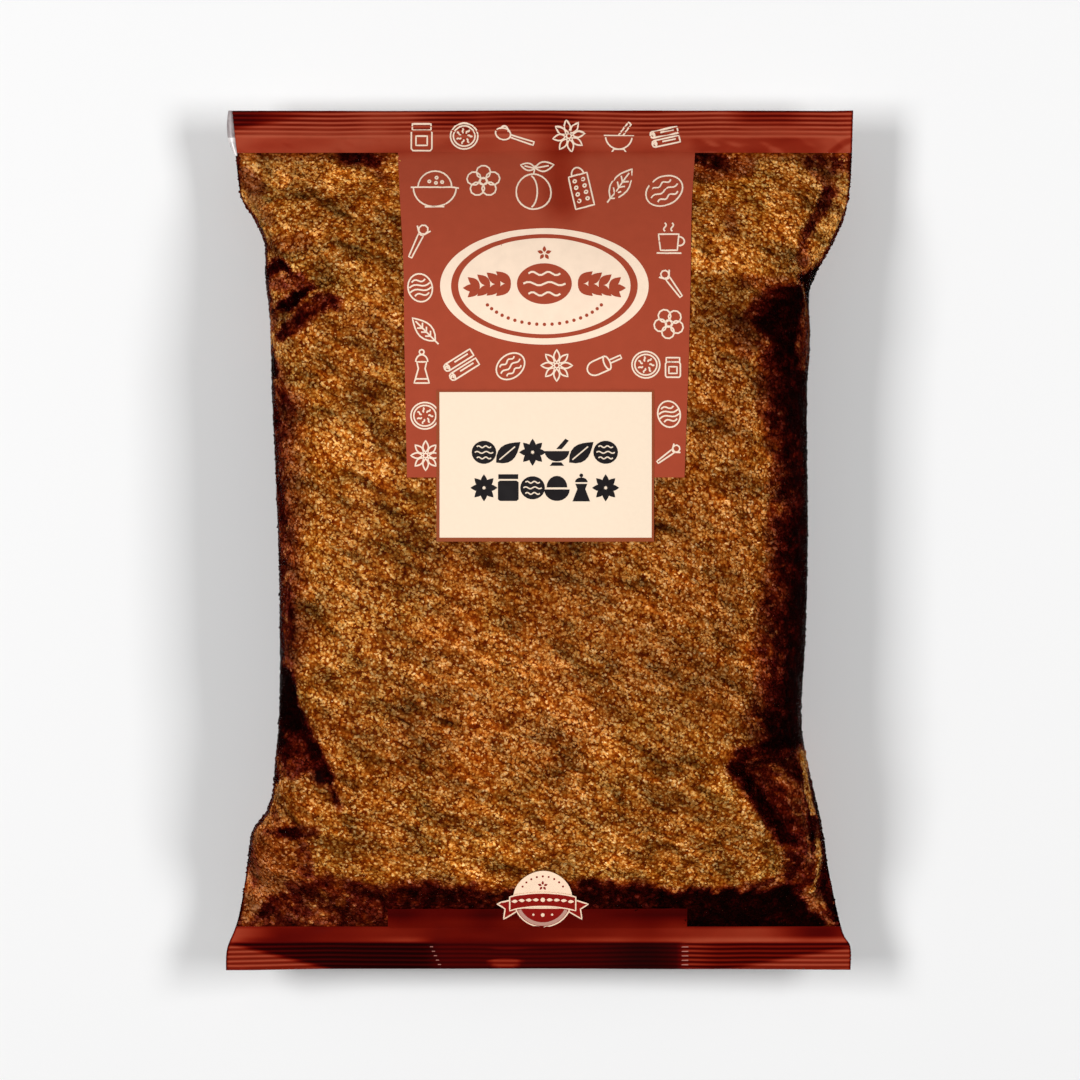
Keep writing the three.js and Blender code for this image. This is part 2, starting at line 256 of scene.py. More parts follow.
def left_of(x, y, a, b):
    """Distance to the left of the line from a to b."""
    dx, dy = b[0] - a[0], b[1] - a[1]
    return (dx * (y - a[1]) - dy * (x - a[0])) / math.hypot(dx, dy)


def noise(x, y, pitch, seed=0):
    """Smooth value noise from -1 to 1 with one lump to a pitch."""
    x, y = x / pitch, y / pitch
    xi, yi = np.floor(x).astype(np.int64), np.floor(y).astype(np.int64)
    u, v = ease(x - xi), ease(y - yi)

    def corner(i, j):
        h = (i * 374761393 + j * 668265263 + seed * 2246822519) & 0xFFFFFFFF
        h = ((h ^ (h >> 13)) * 1274126177) & 0xFFFFFFFF
        return ((h ^ (h >> 16)) & 0xFFFF) / 32767.5 - 1

    low = corner(xi, yi) * (1 - u) + corner(xi + 1, yi) * u
    high = corner(xi, yi + 1) * (1 - u) + corner(xi + 1, yi + 1) * u
    return low * (1 - v) + high * v


def fullness(y):
    """Share of the full thickness that the pack has at a station."""
    inside = BODY_END - np.abs(y)
    shoulder = np.where(y > 0, SHOULDER_TOP, SHOULDER_FOOT)
    return 1 - (1 - np.clip(inside / shoulder, 0, 1)) ** FILL_POWER


def half_width(s, y):
    return np.abs(np.where(s < 0, through(EDGE_LEFT, y), through(EDGE_RIGHT, y)))


def squareness(s, y):
    full = fullness(y)
    return SQUARE_END + (np.where(s < 0, SQUARE_LEFT, SQUARE_RIGHT) - SQUARE_END) * full


def section(s, y):
    """Shares of the half width and of the rise at column s."""
    run, m = np.minimum(np.abs(s), 1), squareness(s, y)
    corner = 2 ** (-1 / m)
    middle = np.minimum(run / SPLIT, 1) * corner
    flank_rise = corner * (1 - np.clip((run - SPLIT) / (1 - SPLIT), 0, 1))
    rise = np.where(run > SPLIT, flank_rise, (1 - middle ** m) ** (1 / m))
    across = np.where(run > SPLIT, (1 - flank_rise ** m) ** (1 / m), middle)
    round_ = ease(fullness(y) * 1.5)
    return np.sign(s) * (run + (across - run) * round_), rise


def column_at(x, y):
    """Column of a spot on the middle part of the front."""
    corner = 2 ** (-1 / squareness(x, y))
    stretch = 1 + (corner / SPLIT - 1) * ease(fullness(y) * 1.5)
    return x / half_width(x, y) / stretch


def rib_groove(x, y):
    """1 along the middle of each rib groove, 0 along the ridges and past the ribs."""
    waver = 0.24 * noise(x, 0 * x, 26, 6) + 0.1 * noise(x, 0 * x, 9, 7)
    from_end = HALF_LENGTH - np.abs(y) + waver
    start = np.where(y > 0, RIB_START_TOP, RIB_START_FOOT)
    wave = 0.5 + 0.5 * np.cos(2 * np.pi * (from_end - start) / RIB_PITCH)
    return np.where(from_end > start + (RIB_COUNT - 0.4) * RIB_PITCH, 0, wave)


def pressed_flat(x, y):
    """Where the foot seal was pressed again, and its ribs are nearly gone."""
    return between(x, -28.6, 37.6, 1.2) * (y < 0)


def in_ribs(y):
    return ease((np.abs(y) - RIBS_FROM) / 0.8)


def rib_wave(x, y):
    worn = (0.8 + 0.2 * noise(x, y, 17, 5)) * (1 - 0.8 * pressed_flat(x, y))
    return RIB_HEIGHT * (1 - 2 * rib_groove(x, y)) * worn * in_ribs(y)


def seam_z(x, y):
    """Height of the middle of the film pair, which the two sheets stand away from."""
    past = np.clip((np.abs(y) - BODY_END) / SEAL, 0, 1)
    end = np.sign(y)
    wave = 0.7 * np.sin(x / 21 + end) + 0.4 * np.sin(x / 9.5 + 2 * end)
    droop = np.where(y > 0, DROOP_TOP, DROOP_FOOT) * past
    ripple = 0.35 * noise(x, 2.6 * y, 8, 31) * between(np.abs(y), 98.6, RIBS_FROM + 1, 1.2)
    z = SEAM_Z + past * wave - droop + ripple + rib_wave(x, y)
    for a, b, lift in CORNER_BENDS:
        beyond = left_of(x, y, a, b) * np.where(y < 0, -1, 1)
        here = (a[1] * y > 0) & ((a[0] + b[0]) * x > 0)
        z = z + lift * np.clip(beyond / 5, 0, 1) * here
    return z


def inside_dent(x, y):
    """How far inside the pressed-in triangle."""
    a, b, c = DENT
    return np.minimum(np.minimum(-left_of(x, y, a, b), -left_of(x, y, b, c)), -left_of(x, y, c, a))


def crease_height(x, y):
    height = np.zeros(x.shape)
    for path, reach, depth, fade in CREASES:
        distance, along = nearest(x, y, path)
        height += depth * (1 - fade * along) * np.clip(1 - distance / reach, 0, 1) ** 1.3
    return height - DENT_DEPTH * np.clip(inside_dent(x, y) / 4, 0, 1)


def settle(x, y):
    """Broad unevenness of the fill."""
    return (0.45 * np.sin(x / 17 + y / 31) + 0.4 * np.sin(y / 14 - x / 37)
            + 0.25 * np.sin(x / 8 + 1) * np.sin(y / 9))


# end, column, reach, depth, width and lean of each pucker that runs out from a seal
PUCKERS = [
    (end, random.uniform(-76, 76), random.uniform(7, 24), random.uniform(0.25, 0.8),
     random.uniform(0.9, 2.2), random.uniform(-0.35, 0.35))
    for end in (-1, 1) for _ in range(34)
]


def film_detail(s, y):
    """Fine creasing of the film: lumps of spice, puckers by the seals, crinkled flanks."""
    a = s * FLAT_HALF
    lumps = 0.14 * noise(a, y, 11, 1) + 0.08 * noise(a, y, 4.5, 2)
    puckers = np.zeros(a.shape)
    for end, at, reach, depth, width, lean in PUCKERS:
        away = BODY_END + 4 - y * end
        off = np.abs(a - at - lean * away) / (width * (0.6 + away / reach))
        fade = ease(away / 3) * ease((reach - away) / (0.7 * reach))
        puckers -= depth * fade * np.clip(1 - off, 0, 1) ** 1.5
    flank = ease((np.abs(s) - 0.62) / 0.2)
    ridged = 1 - np.abs(noise(a + 0.4 * y, y, 8, 3))
    ridged_fine = 1 - np.abs(noise(a - 0.3 * y, y, 3.7, 4))
    shoulder = ease((np.abs(y) - 55) / 30)
    crinkles = -(0.55 * ridged ** 4 + 0.2 * ridged_fine ** 4) * np.maximum(flank, 0.35 * shoulder)
    return lumps - 0.1 + puckers + crinkles


def smooth_front(s, y):
    across, rise = section(s, y)
    x = across * half_width(s, y)
    film = SEAL_PAIR / 2 * ease(rise * 3)
    soft = ease(rise * 1.6) * ease(fullness(y) * 2)
    z = seam_z(x, y) + film + CROWN * fullness(y) * rise + settle(x, y) * soft
    return np.stack([x, y, z], -1)


def smooth_back(s, y):
    across, rise = section(s, y)
    x = across * half_width(s, y)
    film = SEAL_PAIR / 2 * ease(rise * 3)
    z = np.maximum(seam_z(x, y) - film - BELLY * fullness(y) * rise, SEAM_GAP)
    return np.stack([x, y, z], -1)


def outward(surface, s, y, sign):
    """Unit normal of a surface, away from the fill."""
    step = 0.004
    inward = np.where(s < 0, step, -step)
    here = surface(s, y)
    over = (surface(s + inward, y) - here) * np.sign(inward)[..., None]
    along = surface(s, y + 0.4) - here
    normal = np.cross(over, along) * sign
    return normal / np.maximum(np.linalg.norm(normal, axis=-1, keepdims=True), 1e-9)


def front(s, y, lift=0.0):
    """Spots on the front film, or lifted off it square to its surface."""
    base = smooth_front(s, y)
    _, rise = section(s, y)
    open_ = ease(rise * 2.5) * ease(fullness(y) * 2)
    kept = ease((half_width(s, y) - np.abs(base[..., 0])) / 3.5)
    push = (crease_height(base[..., 0], y) * kept + film_detail(s, y)) * open_ + lift
    return base + outward(smooth_front, s, y, 1) * np.asarray(push)[..., None]


def back(s, y, lift=0.0):
    """The same for the back, which never sinks into the table."""
    base = smooth_back(s, y)
    _, rise = section(s, y)
    free = ease((base[..., 2] - SEAM_GAP) / 3) * ease(rise * 2.5) * ease(fullness(y) * 2)
    push = film_detail(s, -y) * free + lift
    placed = base + outward(smooth_back, s, y, -1) * np.asarray(push)[..., None]
    placed[..., 2] = np.maximum(placed[..., 2], SEAM_GAP)
    return placed


def spice_shade(s, y, side):
    """Painted light and shade of the spice: 1 in the open, falling in the folds, down the flanks
    and at the foot of the pack.
    """
    x = section(s, y)[0] * half_width(s, y)
    edge = half_width(s, y) - np.abs(x)
    a = s * FLAT_HALF
    rough = 0.9 * noise(a, y, 5.5, 21) + 0.7 * noise(a, y, 2.3, 22) + 0.6 * noise(a, y, 1.1, 24)
    grain = 0.8 * noise(a, y, 1.1, 25) + 0.4 * noise(a, y, 2.9, 23)
    # painted shade down the right flank, then the left one
    start, black = (through([(row[0], row[k]) for row in DARK_RIGHT], y) for k in (1, 2))
    slope = np.clip((x + 1.2 * rough - start) / (black - start), 0, 1.2) * (x > 0)
    soft = np.where(side > 0, 2.5, 20)
    light = np.exp(-3.2 * slope * between(y + rough, DARK_RIGHT[0][0], DARK_RIGHT[-1][0], soft))
    inner = np.clip((edge + 0.7 * rough) / through(DARK_LEFT, y), 0.02, 1) ** 0.8
    on_left = (x < 0) & (y > DARK_LEFT[0][0]) & (y < DARK_LEFT[-1][0])
    light = np.where(on_left, inner, light)
    # painted light brightens both ends and two broad patches, and painted shade darkens the strip
    # along the foot and the spice by the top seal
    foot = through(FOOT_DEPTH, x) * ease((through(DARK_FOOT, x) + 1.3 * rough - y) / 3.6)
    ends = ease((np.abs(y) - 55) / 22) * np.where(y < 0, 0.6 * ease((72 - np.abs(x)) / 18), 1)
    ends = ends - 1.1 * ease((-52 - x) / 12) * ease((-62 - y) / 14)
    painted_glow = 0.17 * ease((-20 - x) / 25) * between(y, -50, 58, 15)
    painted_glow = painted_glow + 0.13 * between(x, 8, 52, 12) * between(y, -90, -40, 12)
    by_seal = 0.35 * ease((y - 96) / 2)
    light = light * (1 + 0.26 * ends + painted_glow) * (1 - foot) * (1 - by_seal)
    # painted shadows in the folds and the pressed-in corner, and painted highlights on the folds
    # inside them
    folds = 1 - 0.8 * ease((x - through(DENT_LINE, y) + rough) / 3) * between(y, -93, -51, 3)
    for path, width, depth in SHADOWS:
        distance, _ = nearest(x + 0.45 * rough, y - 0.4 * rough, path)
        folds = np.minimum(folds, 1 - depth * ease((width + 0.8 - distance) / 1.6))
    lit = 0.3 * between(y, 42, 63, 4) * ease((3.4 + rough - edge) / 1.6) * (x > 0)
    for path, width, gain in LIT:
        distance, _ = nearest(x + 0.2 * rough, y, path)
        lit = np.maximum(lit, gain * ease((width + 0.9 - distance) / 1.2))
    light = np.where(side > 0, np.maximum(light * folds, lit), np.maximum(light, 0.35))
    # single grains differ more in the painted dark, and painted shade draws a nearly black line
    # along the edge
    light = light * np.exp((0.05 + 1.45 * ease(1.3 - 2 * light)) * grain)
    thin_edge = ease((0.55 - edge) / 0.4) * ease((np.abs(y) - 56) / 5)
    rim = 0.9 * np.maximum(ease((np.abs(s) - 0.982) / 0.012), thin_edge)
    return np.clip(light, 0.012, 1.45) * (1 - rim)


def print_shade(x, y):
    """Painted light and shade of the printed film: 1 over the fill, darker in the grooves and folds
    of the seals.
    """
    from_end = HALF_LENGTH - np.abs(y)
    edge = half_width(x, y) - np.abs(x)
    mottle, streak = noise(x, 2.2 * y, 7, 31), noise(x, 5 * y, 9, 35)
    groove = rib_groove(x, y) * in_ribs(y)
    # painted shade: a nearly black line along the cut edges of the seals
    cut_side = ease(1.2 - edge / 0.5) * (np.abs(y) > BODY_END)
    cut = 1 - 0.8 * np.maximum(ease(1 - from_end / 0.35), cut_side)
    return cut * np.where(y > 0, top_shade(x, y, mottle, streak, groove),
                          foot_shade(x, y, mottle, streak, groove))


def top_shade(x, y, mottle, streak, groove):
    # painted shade on the smooth strip under the ribs, crumpled to the right, with a painted dark
    # line and highlight at its folded corner
    smooth = 0.86 + 0.09 * mottle + 0.05 * streak
    crumple = noise(x + 1.5 * y, 1.3 * y, 2.8, 37) + 0.7 * noise(x, 4 * y, 5, 38)
    creased = ease(1 + 0.8 * crumple + 0.4 * mottle)
    smooth = smooth - 0.26 * between(x + 3 * mottle, 36, 76, 7) * creased
    smooth = smooth - 0.1 * ease(crumple - 0.6) * ease(-x / 20)
    corner_fold, _ = nearest(x, y, CORNER_FOLD)
    smooth = smooth - 0.3 * ease(1.3 - corner_fold) + 0.1 * ease((x + y - 177.5) / 1.5)
    # painted shade in the rib grooves, deepest at the end, with painted light on the ridges and
    # painted shade over the left corner and the middle
    depth = 0.72 - 0.5 * ease((106.8 - y) / 4)
    ribs = (1.05 + 0.06 * streak) * (1 - depth * groove * (0.85 + 0.3 * mottle))
    corner = ease((y - 104.6 - 0.16 * (x + 78)) / 1.6) * ease((-52 - x) / 24)
    middle = between(x, -34, 12, 16) * ease((y - 104.5) / 3)
    middle = middle + between(x, 46, 70, 8) * ease((y - 105) / 3)
    band = (smooth + (ribs - smooth) * in_ribs(y)) * (1 - 0.72 * corner) * (1 - 0.34 * middle)
    # painted shade of a soft dent that runs from the seal into the panel
    dent = 0.3 * ease(1 - nearest(x, y, TOP_DENT)[0] / 8)
    on_seal = ease((y - 97.5) / 2)
    return 1 + (band * (1 - dent) - 1) * on_seal - dent * (1 - on_seal)


def foot_shade(x, y, mottle, streak, groove):
    # painted shade on the smooth strip above the ribs
    upper = 0.05 * mottle + through(FOOT_UPPER, x)
    lower = 0.06 * mottle + through(FOOT_LOWER, x)
    smooth = upper + (lower - upper) * ease((-101.2 - y) / 1.4)
    # painted shade in the rib grooves, shallow where they were pressed flat, with painted glints
    # and painted light on the ribs past the bent corners
    glints = ease(streak * 2.5 - 0.6) * between(x, -27, 3, 9) * ease((-104 - y) / 2)
    ridge = through(FOOT_RIBS, x) + 0.55 * glints
    deep = 0.12 + 0.3 * pressed_flat(x, y)
    for a, b, _ in CORNER_BENDS[:2]:
        side = (a[0] + b[0]) * x > 0
        lit = np.clip(0.5 - left_of(x, y, a, b), 0, 1) * side
        ridge, deep = ridge + (1.0 - ridge) * lit, deep + (0.45 - deep) * lit
    ribs = ridge * (1 - (1 - deep) * groove)
    band = smooth + (ribs - smooth) * in_ribs(y)
    # painted shade on the printed step above the seal
    step = 0.3 + 0.08 * mottle - 0.12 * ease((y + 97.6) / 2)
    band = step + (band - step) * ease((-98.6 - y) / 1.2)
    return 1 + (band - 1) * ease((-92.5 - y) / 1.5)


# ---- laying pieces ------------------------------------------------------------------------
CRISP_ANGLE = 0.7            # edges that turn more are seen as edges, in radians
LINE_STEP = 0.6              # length of the pieces that a drawn line is cut into
LINE_FLATNESS = 0.22         # height of a drawn line as a share of its width


def finish_piece(name, mesh, material, shade=None):
    """Names the mesh, gives it its look and its painted light and shade, and lets it ride with the
    pack.
    """
    mesh.name = name
    if shade is not None:
        layer = mesh.attributes.new("shade", "FLOAT", "POINT")
        layer.data.foreach_set("value", np.asarray(shade, np.float32))
    mesh.materials.clear()
    mesh.materials.append(material)
    mesh.polygons.foreach_set("use_smooth", [True] * len(mesh.polygons))
    piece = bpy.data.objects.new(name, mesh)
    bpy.context.scene.collection.objects.link(piece)
    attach(piece, "root")
    return piece


def points_of(mesh):
    co = np.empty(len(mesh.vertices) * 3)
    mesh.vertices.foreach_get("co", co)
    return co.reshape(-1, 3)


def moved(bm, place, weld=0.0, crisp=False):
    """The mesh of a plan, laid in its place."""
    mesh = bpy.data.meshes.new("plan")
    bm.to_mesh(mesh)
    bm.free()
    return placed_mesh(mesh, place, weld, crisp)


def placed_mesh(mesh, place, weld=0.0, crisp=False):
    """Moves every point of a mesh to its place and turns the faces outwards."""
    mesh.vertices.foreach_set("co", (place(points_of(mesh)) * MM).ravel())
    bm = bmesh.new()
    bm.from_mesh(mesh)
    if weld:
        bmesh.ops.remove_doubles(bm, verts=bm.verts[:], dist=weld)
    bmesh.ops.recalc_face_normals(bm, faces=bm.faces[:])
    for edge in bm.edges if crisp else ():
        edge.smooth = edge.calc_face_angle(0) < CRISP_ANGLE
    bm.to_mesh(mesh)
    bm.free()
    return mesh


def envelope_plan(columns, rows):
    """Front and back sheet, joined all round: x is the column, y the station, z tells the side."""
    bm = bmesh.new()
    for level in (1, -1):
        bmesh.ops.create_grid(bm, x_segments=columns, y_segments=rows, size=1,
                              matrix=Matrix.Translation((0, 0, level)))
    bmesh.ops.bridge_loops(bm, edges=[e for e in bm.edges if e.is_boundary])
    return bm


def envelope(columns, rows, station, lift):
    """The whole skin of the pack, and where each of its points lies: column, station and side."""
    plan = envelope_plan(columns, rows)
    at = []

    def place(co):
        s, y = co[:, 0], station(co[:, 1])
        at.extend((s, y, co[:, 2]))
        raised = lift(s, y)
        return np.where(co[:, 2:3] > 0, front(s, y, raised), back(s, y, raised))

    return moved(plan, place), at


def print_shade_of(mesh):
    x, y, _ = points_of(mesh).T / MM
    return print_shade(x, y)


def draped(lift):
    """Lays a flat plan on the front film; its thickness is added to the lift."""
    def place(co):
        x, y = co[:, 0], co[:, 1]
        return front(column_at(x, y), y, lift + co[:, 2])
    return place


def lattice_cut(bm, step):
    """Cuts a flat plan into small cells, so that it can follow the film."""
    xs = [v.co.x for v in bm.verts]
    ys = [v.co.y for v in bm.verts]
    for axis, low, high in ((0, min(xs), max(xs)), (1, min(ys), max(ys))):
        at = low + step
        while at < high - 0.2 * step:
            normal, spot = Vector((0, 0, 0)), Vector((0, 0, 0))
            normal[axis], spot[axis] = 1, at
            bmesh.ops.bisect_plane(bm, geom=bm.verts[:] + bm.edges[:] + bm.faces[:],
                                   plane_co=spot, plane_no=normal)
            at += step


def thicken(bm, thickness):
    raised = bmesh.ops.extrude_face_region(bm, geom=bm.faces[:])
    verts = [g for g in raised["geom"] if isinstance(g, bmesh.types.BMVert)]
    bmesh.ops.translate(bm, verts=verts, vec=(0, 0, thickness))


def plate(name, box, lift, thickness, material):
    """A box of ink or card on the front film: left, right, foot and top."""
    left, right, foot, top = box
    bm = bmesh.new()
    bmesh.ops.create_grid(bm, x_segments=round((right - left) / PRINT_STEP),
                          y_segments=round((top - foot) / PRINT_STEP), size=0.5)
    bmesh.ops.scale(bm, vec=(right - left, top - foot, 1), verts=bm.verts[:])
    bmesh.ops.translate(bm, vec=((left + right) / 2, (foot + top) / 2, 0), verts=bm.verts[:])
    thicken(bm, thickness)
    mesh = moved(bm, draped(lift), crisp=True)
    return finish_piece(name, mesh, material, print_shade_of(mesh))


def outline_plate(name, outlines, lift, thickness, material, step=PRINT_STEP):
    """Flat filled outlines, each a list of points, or a pair of lists for a ring."""
    bm = bmesh.new()
    for outline in outlines:
        paired = isinstance(outline[0], list)
        loops = [loop_of(bm, points) for points in (outline if paired else [outline])]
        if paired:
            bmesh.ops.bridge_loops(bm, edges=loops[0] + loops[1])
        else:
            bmesh.ops.contextual_create(bm, geom=loops[0])
    bmesh.ops.triangulate(bm, faces=[f for f in bm.faces if len(f.verts) > 4])
    lattice_cut(bm, step)
    thicken(bm, thickness)
    return finish_piece(name, moved(bm, draped(lift), crisp=True), material)


def loop_of(bm, points):
    verts = [bm.verts.new((x, y, 0)) for x, y in points]
    return [bm.edges.new(pair) for pair in zip(verts, verts[1:] + verts[:1])]


def line_work(name, paths, width, lift, material):
    """Drawn lines as low ridges of ink: each path is (points, closed)."""
    curve = bpy.data.curves.new(name, "CURVE")
    curve.dimensions = "3D"
    curve.bevel_depth = width / 2
    curve.bevel_resolution = 1
    curve.use_fill_caps = True
    for points, closed in paths:
        points = resampled(points, closed, LINE_STEP)
        spline = curve.splines.new("POLY")
        spline.points.add(len(points) - 1)
        for point, (x, y) in zip(spline.points, points):
            point.co = (x, y, 0, 1)
        spline.use_cyclic_u = closed
    holder = bpy.data.objects.new(name, curve)
    mesh = bpy.data.meshes.new_from_object(holder)
    bpy.data.objects.remove(holder)
    bpy.data.curves.remove(curve)

    def place(co):
        return draped(lift)(co * (1, 1, LINE_FLATNESS))

    return finish_piece(name, placed_mesh(mesh, place), material)


def resampled(points, closed, step):
    ends = points + points[:1] if closed else points
    out = []
    for (ax, ay), (bx, by) in zip(ends, ends[1:]):
        count = max(1, round(math.hypot(bx - ax, by - ay) / step))
        out += [(ax + (bx - ax) * i / count, ay + (by - ay) * i / count) for i in range(count)]
    return out if closed else out + [points[-1]]


# ---- materials ----------------------------------------------------------------------------
class Nodes:
    """Short hand for a node tree."""

    def __init__(self, tree, shader=None):
        self.tree, self.shader = tree, shader

    def give(self, socket, value):
        """Links a socket to another, or sets it to a constant."""
        if isinstance(value, bpy.types.NodeSocket):
            self.tree.links.new(value, socket)
        elif isinstance(value, tuple) and socket.type == "RGBA":
            socket.default_value = (*value, 1)
        else:
            socket.default_value = value

    def add(self, kind, links=None, **values):
        node = self.tree.nodes.new(kind)
        for key, value in values.items():
            setattr(node, key, value)
        for key, value in (links or {}).items():
            self.give(node.inputs[key], value)
        return node

    def finish(self, **values):
        """Gives the shader its inputs, named with underscores for spaces."""
        for key, value in values.items():
            self.give(self.shader.inputs[key.replace("_", " ")], value)

    def noise(self, vector, scale, detail=2.0, rough=0.5, distortion=0.0):
        return self.add("ShaderNodeTexNoise", {
            "Vector": vector, "Scale": scale, "Detail": detail, "Roughness": rough,
            "Distortion": distortion}).outputs["Fac"]

    def ramp(self, value, *stops):
        node = self.add("ShaderNodeValToRGB", {"Fac": value})
        elements = node.color_ramp.elements
        while len(elements) < len(stops):
            elements.new(0.5)
        for element, (at, colour) in zip(elements, stops):
            element.position = at
            element.color = (*colour, 1) if isinstance(colour, tuple) else (colour,) * 3 + (1,)
        return node.outputs["Color"]

    def spread(self, value, low, high, to_low, to_high):
        return self.add("ShaderNodeMapRange", {
            "Value": value, "From Min": low, "From Max": high,
            "To Min": to_low, "To Max": to_high}).outputs["Result"]

    def math(self, operation, a, b):
        return self.add("ShaderNodeMath", {0: a, 1: b}, operation=operation).outputs[0]

    def times(self, colour, factor):
        """A colour multiplied by another, channel by channel."""
        node = self.add("ShaderNodeMix", {0: 1.0, 6: colour, 7: factor}, data_type="RGBA",
                        blend_type="MULTIPLY")
        return node.outputs[2]

    def powered(self, value, powers):
        """A colour whose channels are one value raised to three powers."""
        parts = [self.math("POWER", value, power) for power in powers]
        links = dict(zip(("Red", "Green", "Blue"), parts))
        return self.add("ShaderNodeCombineColor", links).outputs["Color"]

    def bump(self, height, strength, distance):
        return self.add("ShaderNodeBump", {
            "Height": height, "Strength": strength, "Distance": distance}).outputs["Normal"]

    def grouped(self, group, **given):
        return self.add("ShaderNodeGroup", given, node_tree=group).outputs["Color"]

    def shade(self):
        """The painted light and shade stored on the mesh."""
        return self.add("ShaderNodeAttribute", attribute_name="shade").outputs["Fac"]


def shader_material(name, **sockets):
    """A material with the constants it is given, its nodes, and the position on the part."""
    material = bpy.data.materials.new(name)
    material.use_nodes = True
    nodes = Nodes(material.node_tree, material.node_tree.nodes["Principled BSDF"])
    nodes.finish(**sockets)
    return material, nodes, nodes.add("ShaderNodeTexCoord").outputs["Object"]


def group_of(name, **given):
    """A node group that makes a colour from the sockets it is given."""
    group = bpy.data.node_groups.new(name, "ShaderNodeTree")
    for socket, kind in given.items():
        group.interface.new_socket(socket, in_out="INPUT", socket_type="NodeSocket" + kind)
    group.interface.new_socket("Color", in_out="OUTPUT", socket_type="NodeSocketColor")
    nodes = Nodes(group)
    given, made = nodes.add("NodeGroupInput").outputs, nodes.add("NodeGroupOutput").inputs
    return group, nodes, given, made["Color"]


SPICE_TOP = (0.503, 0.232, 0.067)     # a grain of full level
DULL = {"Roughness": 0.9, "Specular_IOR_Level": 0.008}


def make_painted_ink_shade():
    """Darkens printed ink by the painted shade stored on the mesh, and reddens it as it darkens."""
    group, nodes, given, made = group_of("ink_with_painted_shade", Color="Color", Shade="Float")
    tint = nodes.powered(given["Shade"], (1.0, 2.65, 3.3))
    nodes.give(made, nodes.times(given["Color"], tint))
    return group


def make_spice_with_painted_shade():
    """Spice of one level with its painted shade: grains and the painted shade of folds redden as
    they darken, broad patches hardly do.
    """
    group, nodes, given, made = group_of("spice_tone_and_painted_shade", Vector="Vector", Level="Float",
                                         Shade="Float")
    vector = given["Vector"]
    drift = nodes.add("ShaderNodeMapping", {"Vector": vector, "Rotation": (0, 0, -0.5),
                                            "Scale": (2.2, 0.75, 1.0)}, vector_type="TEXTURE")
    drift = drift.outputs["Vector"]
    fine = nodes.spread(nodes.noise(vector, 1100, 1, 0.5), 0.3, 0.7, 0.79, 1.13)
    fine = nodes.powered(fine, (1.0, 2.6, 5.6))
    grain = nodes.powered(given["Level"], (1.0, 1.78, 3.3))
    clumps = nodes.spread(nodes.noise(drift, 470, 2, 0.6), 0.3, 0.7, 0.57, 1.36)
    clumps = nodes.powered(clumps, (1.0, 1.2, 1.5))
    patches = nodes.ramp(nodes.noise(drift, 150, 3, 0.62, 0.4),
                         (0.30, 0.26), (0.44, 0.71), (0.53, 1.03), (0.68, 1.32))
    broad = nodes.spread(nodes.noise(drift, 34, 2, 0.5), 0.3, 0.7, 0.72, 1.23)
    # a soft patch of painted shade by the panel, darker towards its middle
    away = nodes.add("ShaderNodeVectorMath", {0: vector, 1: SHADE_PATCH_MIDDLE}, operation="DISTANCE")
    shade_patch = nodes.spread(away.outputs["Value"], 0.006, 0.013, 0.42, 1.0)
    patches = nodes.math("MULTIPLY", nodes.math("MULTIPLY", patches, broad), shade_patch)
    patches = nodes.powered(patches, (1.0, 1.05, 1.12))
    hue = nodes.ramp(nodes.noise(vector, 75, 3, 0.6), (0.32, (0.99, 1.025, 0.92)),
                     (0.5, (1.0, 1.0, 1.0)), (0.68, (1.01, 0.985, 0.98)))
    # painted shade from the mesh; above 1 it is painted light, which only brightens and doesn't
    # change the hue
    tint = nodes.powered(nodes.math("MINIMUM", given["Shade"], 1.1), (1.0, 1.8, 1.55))
    bright = nodes.spread(given["Shade"], 1.1, 1.5, 1.0, 1.36)
    colour = SPICE_TOP
    for factor in (fine, grain, clumps, patches, hue, tint, bright):
        colour = nodes.times(colour, factor)
    nodes.give(made, colour)
    return group


SPICE_WITH_PAINTED_SHADE = make_spice_with_painted_shade()
PAINTED_INK_SHADE = make_painted_ink_shade()


def spice_look(nodes, vector, level):
    nodes.finish(Base_Color=nodes.grouped(SPICE_WITH_PAINTED_SHADE, Vector=vector, Level=level,
                                          Shade=nodes.shade()))


def spice_bed():
    material, nodes, vector = shader_material("ground_nutmeg", **DULL)
    cells = nodes.add("ShaderNodeTexVoronoi", {"Vector": vector, "Scale": 1350, "Randomness": 1.0})
    pick = nodes.add("ShaderNodeSeparateColor", {"Color": cells.outputs["Color"]}).outputs["Red"]
    # painted shade darkens each grain towards its edges, in the gaps between grains
    gap_shade = nodes.spread(cells.outputs["Distance"], 0.0, 0.75, 1.1, 0.45)
    spice_look(nodes, vector, nodes.math("MULTIPLY", nodes.spread(pick, 0.0, 1.0, 0.24, 0.95), gap_shade))
    height = nodes.spread(cells.outputs["Distance"], 0.0, 0.8, 1.0, 0.0)
    nodes.finish(Normal=nodes.bump(height, 0.8, 0.0004))
    return material


def crumb(name, level):
    material, nodes, vector = shader_material(name, **DULL)
    spice_look(nodes, vector, level)
    return material


def printed_ink(name, tone, roughness=0.55, folded=True):
    """Ink on film, with the slight mottling and soft sheen of a printed web."""
    material, nodes, vector = shader_material(name, Specular_IOR_Level=0.012)
    mottle = nodes.spread(nodes.noise(vector, 320, 3), 0.3, 0.7, 0.97, 1.03)
    colour = nodes.times(tone, mottle)
    # folded inks take the painted light and shade stored on the mesh
    if folded:
        colour = nodes.grouped(PAINTED_INK_SHADE, Color=colour, Shade=nodes.shade())
    sheen = nodes.spread(nodes.noise(vector, 90, 2), 0.3, 0.7, roughness - 0.05, roughness + 0.08)
    nodes.finish(Base_Color=colour, Roughness=sheen)
    return material


